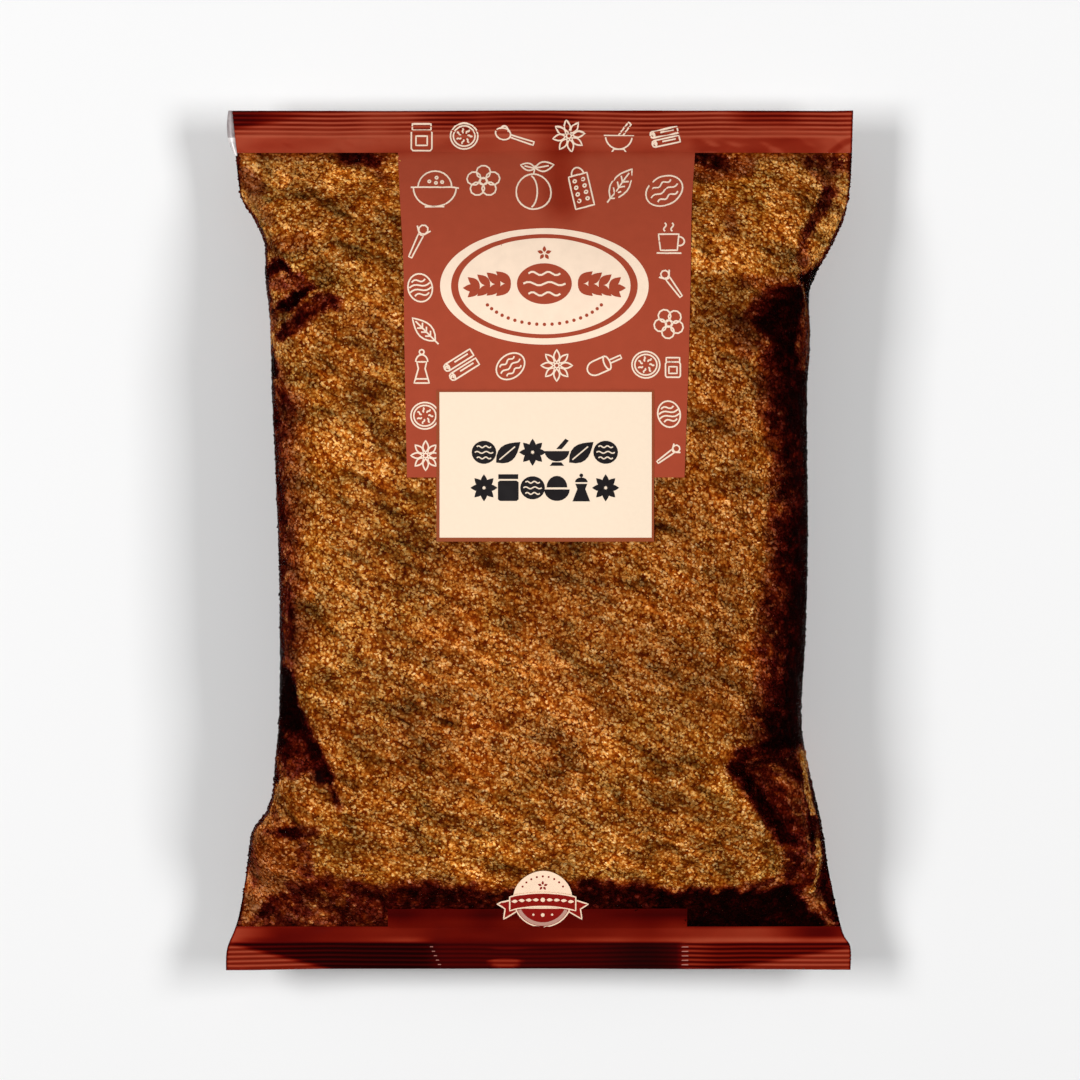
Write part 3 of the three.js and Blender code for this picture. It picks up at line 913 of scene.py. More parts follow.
def clear_film():
    """Nearly unseen face on, denser where it is seen along the sheet, where its near-black colour
    paints a dark shade along the outline of the pack.
    """
    material, nodes, vector = shader_material(
        "clear_film", Base_Color=(0.03, 0.01, 0.004), Roughness=0.3, Specular_IOR_Level=0.045)
    ripple = nodes.bump(nodes.noise(vector, 210, 3, 0.5, 0.5), 0.25, 0.0006)
    facing = nodes.add("ShaderNodeLayerWeight", {"Blend": 0.5}).outputs["Facing"]
    nodes.finish(Normal=ripple, Alpha=nodes.spread(facing, 0.6, 1.0, 0.015, 0.16))
    return material


def sealed_film():
    """Two sheets welded together, cloudier than one."""
    material, nodes, vector = shader_material(
        "sealed_film", Base_Color=(0.42, 0.30, 0.20), Roughness=0.35)
    nodes.finish(Alpha=nodes.spread(nodes.noise(vector, 300, 3, 0.6), 0.3, 0.7, 0.3, 0.5))
    return material


def label_stock(name, tone):
    """Smooth card with a trace of its fibres."""
    material, nodes, vector = shader_material(name, Specular_IOR_Level=0.05)
    fibre = nodes.spread(nodes.noise(vector, 900, 3, 0.6), 0.3, 0.7, 0.985, 1.01)
    rough = nodes.spread(nodes.noise(vector, 200, 2), 0.3, 0.7, 0.5, 0.62)
    nodes.finish(Base_Color=nodes.times(tone, fibre), Roughness=rough)
    return material


def silver_film(name, dark, light):
    """The metallized back of the film."""
    material, nodes, vector = shader_material(name, Metallic=0.2, Specular_IOR_Level=0.3)
    streak = nodes.noise(vector, 400, 3, 0.6, 0.6)
    nodes.finish(Base_Color=nodes.ramp(streak, (0.3, dark), (0.6, light)),
                 Roughness=nodes.spread(streak, 0.3, 0.7, 0.35, 0.5))
    return material


RED = (0.285, 0.047, 0.022)
CREAM = (0.72, 0.56, 0.43)
BED = spice_bed()
FILM = clear_film()
RED_INK = printed_ink("red_print", RED)
CREAM_INK = printed_ink("cream_print", CREAM, folded=False)
PLAIN_RED = printed_ink("red_print_on_cream", RED, folded=False)
LABEL_CREAM = label_stock("label_cream", (0.70, 0.565, 0.432))
LABEL_RED = label_stock("label_red", (0.22, 0.048, 0.016))
LABEL_BLACK = label_stock("label_black", (0.008, 0.006, 0.0065))
SILVER = silver_film("silver_film_back", (0.40, 0.37, 0.37), (0.66, 0.62, 0.61))
# a darker copy of the silver film for the rolled corner, painted shade
SHADED_CURL_SILVER = silver_film("silver_film_curl_painted_shade", (0.20, 0.165, 0.168), (0.35, 0.305, 0.305))
BADGE_CREAM = printed_ink("badge_cream", (0.78, 0.57, 0.41), folded=False)
BADGE_RED = printed_ink("badge_red", (0.20, 0.006, 0.004), folded=False)
BADGE_GREY = printed_ink("badge_grey", (0.42, 0.23, 0.18), folded=False)
PALE_RIB_MARKS = printed_ink("pale_rib_marks", (0.36, 0.14, 0.11), folded=False)
SEALED_FILM = sealed_film()


# ---- film, spice and printed bands --------------------------------------------------------
def body_station(t):
    """Stations of the film, closer together by the seals."""
    return (BODY_END + 0.5) * (0.7 * t + 0.3 * np.sin(np.pi * t / 2))


film_mesh = envelope(190, 250, body_station, lambda s, y: np.zeros(s.shape))[0]
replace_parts(finish_piece("film", film_mesh, FILM), "pouch")


def bed_lift(s, y):
    """The spice lies just inside the film, uneven at the scale of its grains and clumps."""
    a, rise = s * FLAT_HALF, section(s, y)[1]
    relief = 0.16 * noise(a, y, 1.3, 11) + 0.16 * noise(a, y, 3.6, 12) + 0.1 * noise(a, y, 8, 13)
    inner = 0.34 * ease(fullness(y) * 3) * ease(rise * 4)
    return -0.12 * ease(rise * 6) - inner + np.minimum(relief, 0.2) * np.minimum(inner * 3, 1)


bed_mesh, bed_at = envelope(205, 235, lambda t: (BODY_END + 0.4) * t, bed_lift)
finish_piece("nutmeg_bed", bed_mesh, BED, shade=spice_shade(*bed_at))


def band(name, foot, top, upper, lower, material):
    """A sheet of film from one side of the seal to its middle."""
    def place(co):
        s = np.sign(co[:, 0]) * (1 - (1 - np.abs(co[:, 0])) ** 1.5)
        y = foot + (top - foot) * (co[:, 1] + 1) / 2
        return np.where(co[:, 2:3] > 0, upper(s, y), lower(s, y))

    mesh = moved(envelope_plan(200, 66), place, weld=1e-6)
    return finish_piece(name, mesh, material, shade=print_shade_of(mesh))


def seal_front(s, y):
    return front(s, y, PRINT_LIFT)


def seal_back(s, y):
    return back(s, y, PRINT_LIFT)


def seal_middle(s, y):
    return (front(s, y) + back(s, y)) / 2


for end, foot, top in (("top", BODY_END + 0.1, HALF_LENGTH),
                       ("foot", -HALF_LENGTH, -BODY_END + 0.1)):
    band("band_" + end, foot, top, seal_front, seal_middle, RED_INK)
    band("band_" + end + "_back", foot, top, seal_middle, seal_back, SILVER)


# ---- loose crumbs pressed against the film ------------------------------------------------
def covered(x, y):
    """Spots behind opaque print, 1 mm and more from its edge, where no crumb is seen."""
    left, right = through(PANEL_LEFT, y), through(PANEL_RIGHT, y)
    panel = (x > left + 1) & (x < right - 1) & (y > PANEL_FOOT + 1)
    label = (x > LABEL[0] + 1) & (x < LABEL[1] - 1) & (y > LABEL[2] + 1) & (y < LABEL[3] - 1)
    step = (x > FOOT_STEP[0] + 1) & (x < FOOT_STEP[1] - 1) & (y < FOOT_STEP[3] - 1)
    return panel | label | step


def spots(count, facing):
    """Columns and stations spread evenly over one side of the film, its steep flanks included."""
    s = np.empty(0)
    y = np.empty(0)
    while len(s) < count:
        run = RNG.uniform(-0.995, 0.995, count)
        new_y = RNG.uniform(0.4 - BODY_END, BODY_END - 0.4, count)
        new_s = np.sign(run) * np.interp(np.abs(run), [0, CRUMB_SPLIT, 1], [0, SPLIT, 1])
        keep = fullness(new_y) > 0.03
        if facing > 0:
            keep &= ~covered(smooth_front(new_s, new_y)[:, 0], new_y)
        s, y = np.append(s, new_s[keep]), np.append(y, new_y[keep])
    return s[:count], y[:count]


def tumbled(count, tilt):
    """Turns about the film's normal, most of them along the drift, each tipped a little."""
    turn, tip = RNG.uniform(0, 2 * np.pi, count), RNG.uniform(0, tilt, count)
    way = RNG.normal(DRIFT, 0.75, count) - turn
    zero, one = np.zeros(count), np.ones(count)

    def about_z(a):
        c, s = np.cos(a), np.sin(a)
        return np.stack([c, -s, zero, s, c, zero, zero, zero, one], -1).reshape(-1, 3, 3)

    c, s = np.cos(tip), np.sin(tip)
    about_x = np.stack([one, zero, zero, zero, c, -s, zero, s, c], -1).reshape(-1, 3, 3)
    return about_z(way) @ about_x @ about_z(turn)


def crumb_block():
    bm = bmesh.new()
    bmesh.ops.create_cube(bm, size=2)
    bm.verts.index_update()
    corners = np.array([v.co[:] for v in bm.verts])
    faces = np.array([[v.index for v in f.verts] for f in bm.faces])
    bm.free()
    return corners, faces


BLOCK, BLOCK_FACES = crumb_block()


def crumbs(name, front_count, back_count, size, material):
    """Angular crumbs, each in a cell of its own on the bake map."""
    places, frames, shades = [], [], []
    for count, surface, smooth, facing in (
        (front_count, front, smooth_front, 1), (back_count, back, smooth_back, -1),
    ):
        s, y = spots(count, facing)
        normal = outward(smooth, s, y, facing)
        sunk = 0.05 + 0.4 * ease(fullness(y) * 3) * ease(section(s, y)[1] * 4)
        places.append(surface(s, y, -sunk - RNG.uniform(0.0, 0.14, count)))
        shades.append(spice_shade(s, y, np.full(count, facing)))
        side = np.cross(normal, (0.0, 1.0, 0.0))
        side /= np.linalg.norm(side, axis=-1, keepdims=True)
        frames.append(np.stack([side, np.cross(normal, side), normal], -1))
    places, frames = np.concatenate(places), np.concatenate(frames)
    count = len(places)
    low, high = size
    length = low * (high / low) ** RNG.beta(1.3, 2.2, count)
    halves = np.stack([length, length * RNG.uniform(0.45, 0.8, count),
                       length * RNG.uniform(0.35, 0.6, count)], -1) / 2
    corners = BLOCK[None] * RNG.uniform(0.45, 1.1, (count, 8, 3)) * halves[:, None]
    corners = np.einsum("nij,nkj->nki", frames @ tumbled(count, 0.6), corners)
    points = (places[:, None] + corners).reshape(-1, 3) * MM
    faces = (BLOCK_FACES[None] + 8 * np.arange(count)[:, None, None]).reshape(-1, 4)

    mesh = bpy.data.meshes.new(name)
    mesh.from_pydata(points, [], faces)
    cells = math.ceil(math.sqrt(count))
    grid = np.stack([np.arange(count) % cells, np.arange(count) // cells], -1)
    uv = ((grid + 0.5) / cells)[:, None] + BLOCK[None, :, :2] * 0.12 / cells
    layer = mesh.uv_layers.new(name="OFBake")
    layer.uv.foreach_set("vector", uv.reshape(-1, 2)[faces.ravel()].ravel().astype(np.float32))
    shade = np.repeat(np.concatenate(shades), len(BLOCK))
    return finish_piece(name, mesh, material, shade=shade)


CRUMBS = [   # name, level of its tone, number in front and behind, size
    ("crumbs_tan", 1.05, 12500, 3000, (0.6, 1.5)),
    ("crumbs_gold", 0.99, 12500, 3000, (0.6, 1.5)),
    ("crumbs_umber", 0.9, 12500, 3000, (0.6, 1.55)),
    ("crumbs_brown", 0.8, 9800, 2600, (0.55, 1.35)),
    ("crumbs_dark", 0.55, 8200, 2400, (0.45, 1.2)),
]
for name, level, in_front, behind, size in CRUMBS:
    crumbs(name, in_front, behind, size, crumb(name, level))


# ---- printed panel, and the step over the foot seal ------------------------------------------
def panel():
    bm = bmesh.new()
    bmesh.ops.create_grid(bm, x_segments=60, y_segments=72, size=1)
    thicken(bm, 0.05)

    def place(co):
        y = PANEL_FOOT + (PANEL_TOP - PANEL_FOOT) * (co[:, 1] + 1) / 2
        left, right = through(PANEL_LEFT, y), through(PANEL_RIGHT, y)
        x = left + (right - left) * (co[:, 0] + 1) / 2
        return draped(PRINT_LIFT)(np.stack([x, y, co[:, 2]], -1))

    mesh = moved(bm, place, crisp=True)
    return finish_piece("panel", mesh, RED_INK, shade=print_shade_of(mesh))


panel()
plate("foot_step", FOOT_STEP, PRINT_LIFT, 0.05, RED_INK)


# ---- drawn motifs, in millimetres round their own middle ------------------------------------
def arc(x, y, rx, ry=None, start=0.0, end=360.0):
    ry = rx if ry is None else ry
    length = math.radians(abs(end - start)) * max(rx, ry)
    count = max(8, round(length / 0.9))
    turns = [math.radians(start + (end - start) * i / count) for i in range(count + 1)]
    return [(x + rx * math.cos(a), y + ry * math.sin(a)) for a in turns]


def disc(x, y, rx, ry=None):
    return arc(x, y, rx, ry)[:-1]


def open_line(*points):
    return list(points), False


def loop(*points):
    return list(points), True


def ring(x, y, rx, ry=None):
    return disc(x, y, rx, ry), True


def turned(points, x, y, degrees, size=1.0):
    c, s = math.cos(math.radians(degrees)) * size, math.sin(math.radians(degrees)) * size
    return [(x + c * px - s * py, y + s * px + c * py) for px, py in points]


def placed(strokes, x, y, degrees=0.0, size=1.0):
    return [(turned(points, x, y, degrees, size), closed) for points, closed in strokes]


def leaf_outline(x, y, length, degrees, belly=0.26):
    """Pointed leaf, from its stalk at x, y."""
    steps = [i / 7 for i in range(8)]
    sides = [(t * length, belly * length * math.sin(math.pi * t ** 0.85)) for t in steps]
    return turned(sides + [(px, -py) for px, py in sides[-2:0:-1]], x, y, degrees)


def leaf(x, y, length, degrees, belly=0.26):
    vein = turned([(0, 0), (0.72 * length, 0)], x, y, degrees)
    return [(leaf_outline(x, y, length, degrees, belly), True), (vein, False)]


def petals(count, inner, length, belly, x=0.0, y=0.0, start=0.0):
    """Leaf outlines that point away from x, y, and begin at a distance from it."""
    turns = [360 / count * k + start for k in range(count)]
    return [leaf_outline(*turned([(inner, 0)], x, y, turn)[0], length, turn, belly)
            for turn in turns]


def wavy(x0, x1, y, height, waves):
    count = 4 * waves + 4
    return [(x0 + (x1 - x0) * i / count, y + height * math.sin(2 * math.pi * waves * i / count))
            for i in range(count + 1)], False


def whole_nutmeg():
    veins = [wavy(-w, w, y, 0.3, 2) for y, w in ((-1.5, 2.4), (0.0, 3.2), (1.5, 2.4))]
    return placed([ring(0, 0, 4.1, 3.1)] + veins, 0, 0, 28)


def halved_nutmeg():
    spokes = [placed([wavy(1.0, 2.3, 0, 0.22, 1)], 0, 0, 51.4 * k)[0] for k in range(7)]
    return [ring(0, 0, 3.9, 3.7), ring(0, 0, 3.1, 2.9)] + spokes


def nutmeg_fruit():
    return ([ring(0, -0.8, 3.3, 3.5), (arc(-0.9, -0.8, 1.6, 3.3, -72, 72), False),
             open_line((0, 2.7), (0.3, 4.4))] + leaf(0.3, 3.9, 3.6, 12) + leaf(0.2, 3.8, 2.8, 165))


def mortar():
    return [(arc(0, 0.8, 3.8, 3.9, 180, 360), False), open_line((-4.3, 0.8), (4.3, 0.8)),
            loop((-1.4, -3.1), (1.4, -3.1), (2.2, -4.2), (-2.2, -4.2)),
            loop((-0.2, 0.8), (2.7, 4.6), (3.5, 4.0), (1.1, 0.8))]


def grater():
    holes = [ring(x, y, 0.34) for y in (2.0, 0.5, -1.0, -2.5) for x in (-0.9, 0.9)]
    return [loop((-2.0, 3.2), (2.0, 3.2), (2.0, -4.2), (-2.0, -4.2)),
            (arc(0, 3.2, 1.3, 1.6, 0, 180), False)] + holes


def scoop():
    return placed([(arc(-2.2, 0, 2.2, 1.9, 90, 270), False), open_line((-2.2, 1.9), (1.2, 1.9)),
                   open_line((-2.2, -1.9), (1.2, -1.9)), (arc(1.2, 0, 0.8, 1.9), False),
                   loop((2.0, 0.45), (5.2, 0.45), (5.2, -0.45), (2.0, -0.45))], 0, 0, 24)


def bowl_of_spice():
    grains = [ring(x, y, 0.26) for x, y in ((-1.1, 1.2), (0.3, 2.0), (1.4, 1.1), (0.2, 0.9))]
    return [(arc(0, 0, 4.2, 4.0, 180, 360), False), open_line((-4.7, 0), (4.7, 0)),
            (arc(0, 0, 3.3, 3.4, 0, 180), False), open_line((-1.9, -4.0), (1.9, -4.0))] + grains


def jar():
    return [loop((-2.6, 2.2), (2.6, 2.2), (3.1, 1.4), (3.1, -3.6), (2.6, -4.2), (-2.6, -4.2),
                 (-3.1, -3.6), (-3.1, 1.4)), loop((-2.8, 2.2), (2.8, 2.2), (2.8, 4.0), (-2.8, 4.0)),
            loop((-1.7, -2.6), (1.7, -2.6), (1.7, 0.2), (-1.7, 0.2))]


def star_anise():
    return [loop(*petal) for petal in petals(8, 1.0, 3.4, 0.24)] + [ring(0, 0, 0.7)]


def cinnamon():
    def stick(y):
        return [ring(-4.0, y, 0.75, 1.05), (arc(-4.0, y, 0.3, 0.45, -90, 200), False),
                open_line((-4.0, y + 1.05), (4.2, y + 1.05), (4.2, y - 1.05), (-4.0, y - 1.05)),
                open_line((-1.4, y + 0.2), (3.0, y + 0.2))]
    return placed(stick(1.5) + stick(-1.5), 0, 0, 32)


def clove():
    prongs = [open_line((0.5 * k, 1.6), (1.6 * k, 3.0)) for k in (-1, 1)]
    return placed([loop((-0.6, 1.4), (0.6, 1.4), (0.35, -4.2), (-0.35, -4.2)), ring(0, 2.7, 1.05)]
                  + prongs, 0, 0, -24)


def mill():
    return [loop((-1.3, 1.4), (1.3, 1.4), (0.9, -0.4), (2.0, -4.2), (-2.0, -4.2), (-0.9, -0.4)),
            (arc(0, 1.4, 1.6, 1.9, 0, 180), False), ring(0, 4.0, 0.65),
            open_line((-1.75, -3.1), (1.75, -3.1))]


def mace():
    bands = [wavy(-w, w, y, 0.45, 1) for y, w in ((-1.9, 2.0), (-0.6, 3.0), (0.7, 2.9), (2.0, 1.9))]
    return placed([ring(0, 0, 3.3, 3.9)] + bands, 0, 0, 15)


def spoon():
    handle = loop((-1.3, 0.3), (5.0, 0.45), (5.0, -0.45), (-1.3, -0.3))
    heap = (arc(-3.2, 0.4, 1.2, 1.6, 20, 160), False)
    return placed([ring(-3.2, 0, 2.0, 1.5), handle, heap], 0, 0, -38)


def cup():
    steam = [placed([wavy(0, 2.4, 0, 0.35, 1)], x, 2.0, 90)[0] for x in (-1.2, 0.8)]
    handle = (arc(2.6, -0.8, 1.5, 1.3, -100, 90), False)
    return [loop((-3.0, 1.2), (2.6, 1.2), (2.1, -3.4), (-2.5, -3.4)), handle,
            open_line((-3.6, -4.2), (3.2, -4.2))] + steam


def blossom():
    round_petals = [(arc(*turned([(2.0, 0)], 0, 0, 72 * k + 90)[0], 1.45), False) for k in range(5)]
    return round_petals + [ring(0, 0, 0.85)]


def bay_leaf():
    veins = [open_line((t, 0), (t + 1.0, side))
             for t in (-2.4, -0.9, 0.6) for side in (-1, 1)]
    return placed([(leaf_outline(-4.2, 0, 8.6, 0, 0.23), True), open_line((-5.4, 0), (3.2, 0))]
                  + veins, 0, 0, 55)


PANEL_MOTIFS = [     # drawing, its middle, turn and size
    (jar, -30.3, 103.2, 0, 0.85), (halved_nutmeg, -19.4, 103.4, 0, 0.9),
    (spoon, -6.4, 103.0, 20, 1.0), (star_anise, 7.4, 103.4, 10, 0.95),
    (mortar, 20.2, 102.8, 0, 0.9), (cinnamon, 32.2, 103.2, -20, 0.8),
    (bowl_of_spice, -26.7, 89.6, 0, 1.3), (blossom, -14.4, 91.2, 0, 1.25),
    (nutmeg_fruit, -1.6, 89.6, 0, 1.35), (grater, 10.4, 89.4, 12, 1.2),
    (bay_leaf, 20.6, 90.6, 0, 1.15), (whole_nutmeg, 31.6, 88.8, 0, 1.2),
    (clove, -30.7, 75.6, 0, 1.15), (mace, -30.1, 63.4, 0, 0.92),
    (bay_leaf, -29.1, 52.8, 80, 0.95), (cup, 32.7, 76.2, 0, 0.92), (clove, 33.0, 64.6, 60, 1.0),
    (blossom, 32.4, 54.4, 30, 1.1), (mill, -29.7, 43.4, 0, 0.95), (cinnamon, -19.6, 44.0, 0, 0.9),
    (whole_nutmeg, -7.4, 43.6, 10, 0.95), (star_anise, 4.2, 43.8, 0, 0.9),
    (scoop, 15.8, 44.0, 0, 0.95), (halved_nutmeg, 26.6, 44.0, 0, 0.9), (jar, 33.4, 43.4, 0, 0.6),
    (halved_nutmeg, -28.9, 31.2, 0, 0.9), (star_anise, -28.7, 21.2, 0, 0.85),
    (mace, 32.4, 31.6, 0, 0.85), (clove, 32.4, 21.6, -30, 0.85),
]


def panel_drawings():
    strokes = []
    for motif, x, y, degrees, size in PANEL_MOTIFS:
        strokes += placed(motif(), x, y, degrees, size)
    line_work("panel_drawings", strokes, 0.46, 0.12, CREAM_INK)


panel_drawings()


# ---- oval -----------------------------------------------------------------------------------
def laurel(side):
    """A branch that leans out from the middle, with its leaves in pairs."""
    x, y, _, _ = OVAL
    out = 0 if side > 0 else 180
    leaves = []
    for i in range(4):
        at = (x + side * (8.4 + 2.6 * i), y + 0.5 - 0.1 * i * i)
        for lean in (40, -40):
            leaves.append(leaf_outline(*at, 4.9 - 0.3 * i, out + lean, 0.25))
    leaves.append(leaf_outline(x + side * 16.6, y - 0.6, 3.9, out, 0.25))
    return leaves


def oval():
    x, y, rx, ry = OVAL
    outline_plate("oval", [disc(x, y, rx, ry)], 0.12, 0.04, CREAM_INK)
    outer, inner = (disc(x, y, share * rx, share * ry) for share in (0.895, 0.826))
    outline_plate("oval_ring", [[outer, inner]], 0.17, 0.03, PLAIN_RED)
    emblem = [disc(x, y + 0.5, 6.9, 5.2)] + petals(5, 0.35, 1.5, 0.3, x, y + 8.3, 90)
    beads = [disc(x + 0.63 * rx * math.cos(a), y + 0.66 * ry * math.sin(a), 0.45)
             for a in (math.radians(210 + 6.67 * k) for k in range(19))]
    outline_plate("oval_emblem", emblem + laurel(-1) + laurel(1) + beads, 0.17, 0.03, PLAIN_RED)
    veins = [wavy(x - w, x + w, y + 0.5 + dy, 0.45, 2)
             for dy, w in ((-2.6, 4.0), (0.0, 5.3), (2.6, 4.0))]
    line_work("oval_emblem_veins", veins, 0.55, 0.2, CREAM_INK)


oval()


# ---- label ----------------------------------------------------------------------------------
def solid_nutmeg():
    return [disc(0, 0, 3.1, 2.9)]


def solid_leaf():
    return [leaf_outline(*turned([(-4.0, 0)], 0, 0, 40)[0], 8.0, 40, 0.27)]


def solid_star():
    return petals(8, 0.3, 3.1, 0.27)


def solid_mortar():
    return [arc(0, 0.3, 3.1, 2.6, 180, 360), [(-1.8, -3.4), (1.8, -3.4), (1.1, -2.5), (-1.1, -2.5)],
            [(-0.2, 0.8), (1.2, 0.8), (3.0, 2.9), (2.1, 3.4)]]


def solid_jar():
    body = [(-2.6, 1.4), (-2.6, -2.9), (-2.1, -3.3), (2.1, -3.3), (2.6, -2.9), (2.6, 1.4),
            (2.1, 1.8), (-2.1, 1.8)]
    return [body, [(-2.5, 2.2), (2.5, 2.2), (2.5, 3.4), (-2.5, 3.4)]]


def solid_bowl():
    return [arc(0, -0.4, 3.2, 2.9, 180, 360), arc(0, 0.1, 2.6, 2.9, 0, 180)]


def solid_mill():
    return [[(-1.5, 1.0), (-1.0, -0.3), (-2.2, -3.4), (2.2, -3.4), (1.0, -0.3), (1.5, 1.0)],
            arc(0, 1.4, 1.6, 1.2, 0, 180), disc(0, 3.1, 0.5)]


LABEL_ROWS = [
    (22.0, [solid_nutmeg, solid_leaf, solid_star, solid_mortar, solid_leaf, solid_nutmeg]),
    (13.1, [solid_star, solid_jar, solid_nutmeg, solid_bowl, solid_mill, solid_star]),
]
LABEL_MIDDLE, LABEL_PITCH = 1.2, 6.1


def label():
    """The stuck-on card, its face, and two rows of plain kitchen shapes."""
    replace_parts(plate("label_card", LABEL, 0.2, 0.15, LABEL_RED), "name_label")
    plate("label_face", LABEL_FACE, 0.36, 0.04, LABEL_CREAM)
    outlines, veins = [], []
    for y, shapes in LABEL_ROWS:
        for k, shape in enumerate(shapes):
            x = LABEL_MIDDLE + LABEL_PITCH * (k - 2.5)
            outlines += [turned(points, x, y, 0) for points in shape()]
            if shape is solid_nutmeg:
                veins += placed([wavy(-w, w, dy, 0.24, 2)
                                 for dy, w in ((-1.4, 1.8), (0, 2.3), (1.4, 1.8))], x, y)
            if shape is solid_leaf:
                veins.append(open_line(*turned([(-2.9, 0), (2.2, 0)], x, y, 40)))
    outline_plate("label_shapes", outlines, 0.41, 0.03, LABEL_BLACK)
    line_work("label_shape_veins", veins, 0.36, 0.44, LABEL_CREAM)


label()


# ---- badge ----------------------------------------------------------------------------------
def badge():
    """A round seal with a ribbon across it, in layers of ink."""
    x, y, r = BADGE

    def layer(name, outlines, lift, thickness, material):
        outlines = [turned(points, x, y, 0) for points in outlines]
        outline_plate("badge_" + name, outlines, lift, thickness, material, step=BADGE_STEP)

    def border(name, outlines, lift):
        strokes = [(turned(points, x, y, 0), True) for points in outlines]
        line_work("badge_" + name, strokes, 0.42, lift, BADGE_CREAM)

    def arch(dx, drop=0.0):
        return 1.9 - drop - 0.017 * dx * dx

    layer("seal", [disc(0, 0, r)], 0.14, 0.03, BADGE_CREAM)
    layer("field", [arc(0, 0, 0.95 * r, start=200, end=340)], 0.18, 0.03, BADGE_RED)
    outer, inner = (arc(0, 0, share * r, start=205, end=335) for share in (0.93, 0.81))
    layer("band", [outer + inner[::-1]], 0.22, 0.03, BADGE_GREY)
    tail = [(7.2, 0.2), (11.6, -1.2), (9.6, -2.5), (10.0, -5.2), (6.7, -3.2)]
    tails = [[(side * px, py) for px, py in tail] for side in (-1, 1)]
    layer("tails", tails, 0.26, 0.03, BADGE_RED)
    border("tail_edges", tails, 0.27)
    xs = [-8.4 + 0.7 * k for k in range(25)]
    ribbon = [(dx, arch(dx)) for dx in xs] + [(dx, arch(dx, 3.6)) for dx in xs[::-1]]
    layer("ribbon", [ribbon], 0.32, 0.03, BADGE_RED)
    border("ribbon_edge", [ribbon], 0.33)
    leaves = [leaf_outline(side * (1.0 + 1.8 * k), arch(1.8 * k, 1.85), 1.6, turn, 0.26)
              for side, turn in ((-1, 180), (1, 0)) for k in range(4)]
    layer("ribbon_leaves", leaves + [disc(0, 0.05, 0.6)], 0.36, 0.02, BADGE_CREAM)
    dots = [disc(6.2 * math.cos(a), 6.2 * math.sin(a), 0.27)
            for a in (math.radians(34 + 14 * k) for k in range(9))]
    layer("dots", dots + petals(5, 0.3, 1.0, 0.3, 0, 3.7, 90), 0.18, 0.02, BADGE_RED)
    studs = [disc(dx, -4.1 + 0.04 * abs(dx), size)
             for dx, size in ((-2.4, 0.3), (0, 0.5), (2.4, 0.3))]
    layer("studs", studs, 0.22, 0.02, BADGE_CREAM)


badge()


# ---- curled corner, back seam and marks in the foot seal --------------------------------------
CURL_FOOT, CURL_SPLIT = 98.0, 0.42   # where it starts, and the share of it that is only folded


def curl_width(along):
    """How far the rolled corner stands out, from its point to the end of the pack."""
    return 1.9 * np.sin(np.pi * np.clip(along, 0, 1) ** 0.8 * 0.86) ** 0.8


def corner_curl():
    """The top left corner is rolled forwards and shows the back of its film."""
    # the rolled part takes the darker copy of the silver film, painted shade; the folded part the
    # plain one
    for name, low, high, material in (("corner_curl", CURL_SPLIT, 1, SHADED_CURL_SILVER),
                                      ("corner_fold", 0, CURL_SPLIT, SILVER)):
        bm = bmesh.new()
        bmesh.ops.create_grid(bm, x_segments=12, y_segments=24, size=1)
        thicken(bm, 0.06)

        def place(co):
            along = low + (high - low) * (co[:, 1] + 1) / 2
            y = CURL_FOOT + (HALF_LENGTH - CURL_FOOT) * along
            width = curl_width(along)
            turn = np.radians(165 * (1 - co[:, 0]) / 2)
            edge = through(EDGE_LEFT, y)
            radius = width / 2 + co[:, 2]
            x = edge + 0.45 - width / 2 - radius * np.cos(turn)
            z = seam_z(edge, y) - rib_wave(edge, y) - 0.2 + radius * np.sin(turn)
            return np.stack([x, y, z], -1)

        finish_piece(name, moved(bm, place), material)


corner_curl()


def back_seam():
    """The lengthwise seam of the tube, folded flat between the pack and the table."""
    bm = bmesh.new()
    bmesh.ops.create_grid(bm, x_segments=8, y_segments=200, size=1)
    thicken(bm, 1.0)

    def place(co):
        x, y = 3.0 + 6.0 * co[:, 0], (HALF_LENGTH - 0.3) * co[:, 1]
        under = back(column_at(x, y), y)
        under[:, 2] -= 0.03 + 0.27 * (1 - co[:, 2])
        return under

    finish_piece("back_seam", moved(bm, place), SEALED_FILM)


back_seam()


def rib_ends():
    """Pale short marks at the ends of the ribs where the foot seal was pressed smooth; those on the
    right are a painted highlight where the ribs begin again.
    """
    marks = []
    for k in range(RIB_COUNT - 1):
        y = RIB_START_FOOT + RIB_PITCH * (k + 0.5) - HALF_LENGTH
        marks.append(open_line((-26.2 - 0.5 * k, y), (-25.4 - 0.5 * k, y)))
        marks.append(open_line((36.3, y), (38.0, y)))
    line_work("rib_ends", marks, 0.22, 0.1, PALE_RIB_MARKS)


rib_ends()


# ---- stand, light and camera --------------------------------------------------------------
scene = bpy.context.scene


def lamp(name, towards, distance, size, level):
    """A soft light; level is the share of full brightness it gives a sheet lying flat."""
    away = Vector(towards).normalized()
    light = bpy.data.lights.new(name, "AREA")
    light.shape = "RECTANGLE"
    light.size, light.size_y = size
    light.energy = level * (math.pi * distance) ** 2 / away.z
    holder = bpy.data.objects.new(name, light)
    holder.location = away * distance
    holder.rotation_euler = (-away).to_track_quat("-Z", "Y").to_euler()
    scene.collection.objects.link(holder)
    return holder


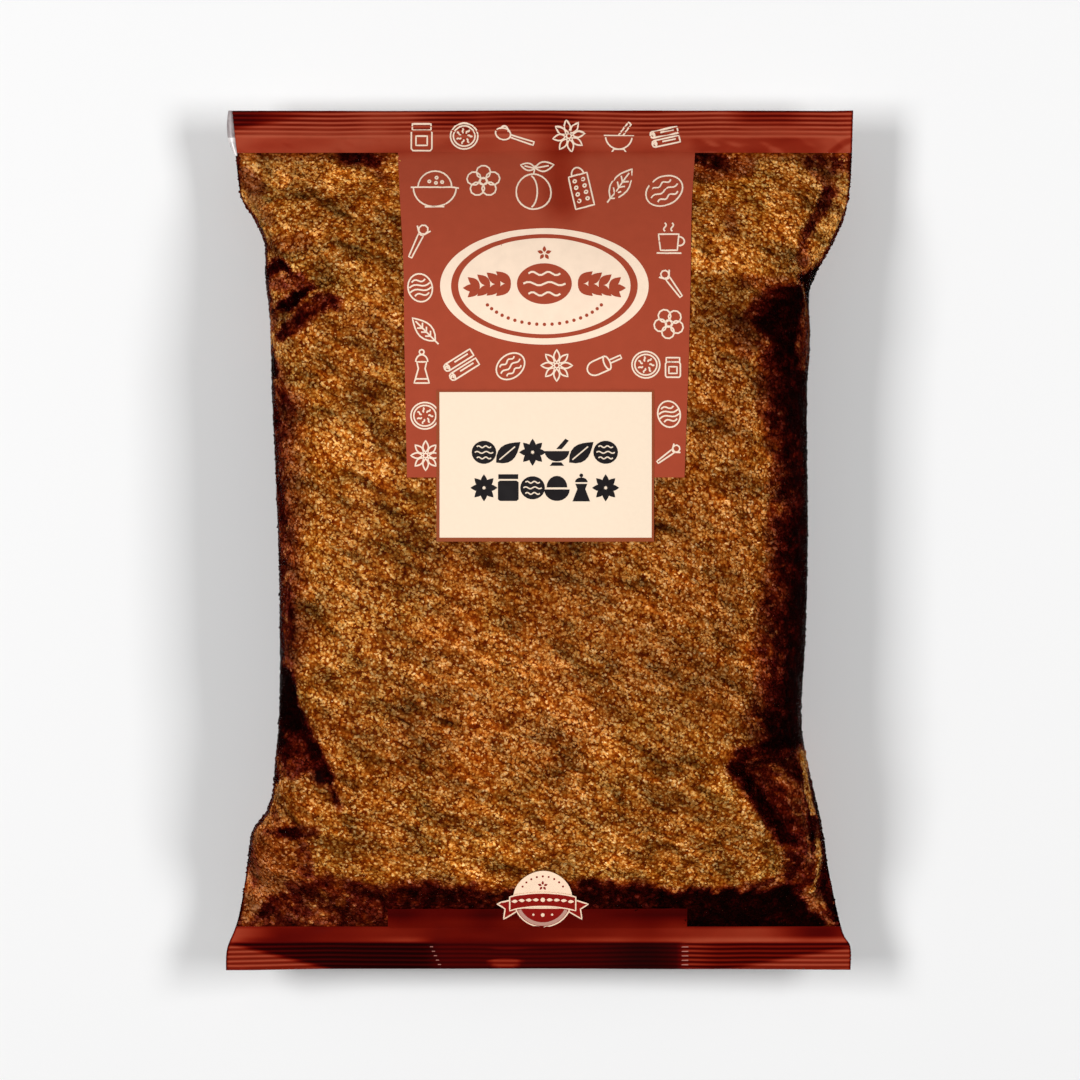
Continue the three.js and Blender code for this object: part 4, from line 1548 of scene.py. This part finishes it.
def studio():
    bm = bmesh.new()
    bmesh.ops.create_grid(bm, x_segments=1, y_segments=1, size=3.0)
    mesh = bpy.data.meshes.new("floor")
    bm.to_mesh(mesh)
    bm.free()
    white = shader_material("floor_white", Base_Color=(0.9, 0.9, 0.9), Roughness=0.9,
                            Specular_IOR_Level=0.1)[0]
    mesh.materials.append(white)
    floor = bpy.data.objects.new("floor", mesh)
    scene.collection.objects.link(floor)

    world = bpy.data.worlds.new("studio")
    world.use_nodes = True
    world.node_tree.nodes["Background"].inputs["Color"].default_value = (1, 1, 1, 1)
    world.node_tree.nodes["Background"].inputs["Strength"].default_value = 0.1
    scene.world = world

    only_floor = bpy.data.collections.new("only_floor")
    only_floor.objects.link(floor)
    not_floor = bpy.data.collections.new("not_floor")
    not_floor.objects.link(floor)
    not_floor.collection_objects[0].light_linking.link_state = "EXCLUDE"
    for name, towards, distance, size, level, receivers in (
        ("key", (-0.2, 0.02, 0.98), 1.3, (0.3, 0.3), 0.83, not_floor),
        ("fill_foot", (-0.1, -1.0, 0.75), 1.2, (0.6, 0.6), 0.26, not_floor),
        ("fill_top", (-0.1, 1.0, 0.75), 1.2, (0.6, 0.6), 0.22, not_floor),
        ("rim_right", (1.0, -0.3, 0.3), 1.2, (0.4, 0.3), 0.04, not_floor),
        ("floor_top", (0.0, 0.4, 1.0), 1.0, (1.2, 1.2), 0.105, only_floor),
        ("floor_left", (-1.0, 0.1, 1.19), 1.5, (0.75, 0.42), 0.5, only_floor),
        ("floor_right", (1.0, 0.1, 1.19), 1.5, (0.75, 0.42), 0.42, only_floor),
    ):
        lamp(name, towards, distance, size, level).light_linking.receiver_collection = receivers


def camera():
    lens, sensor, view_width = 180, 36, 0.2765
    data = bpy.data.cameras.new("camera")
    data.lens, data.sensor_width = lens, sensor
    holder = bpy.data.objects.new("camera", data)
    holder.location = (0, 0, SEAM_Z * MM + view_width * lens / sensor)
    scene.collection.objects.link(holder)
    scene.camera = holder


studio()
camera()
scene.view_settings.view_transform = "Standard"
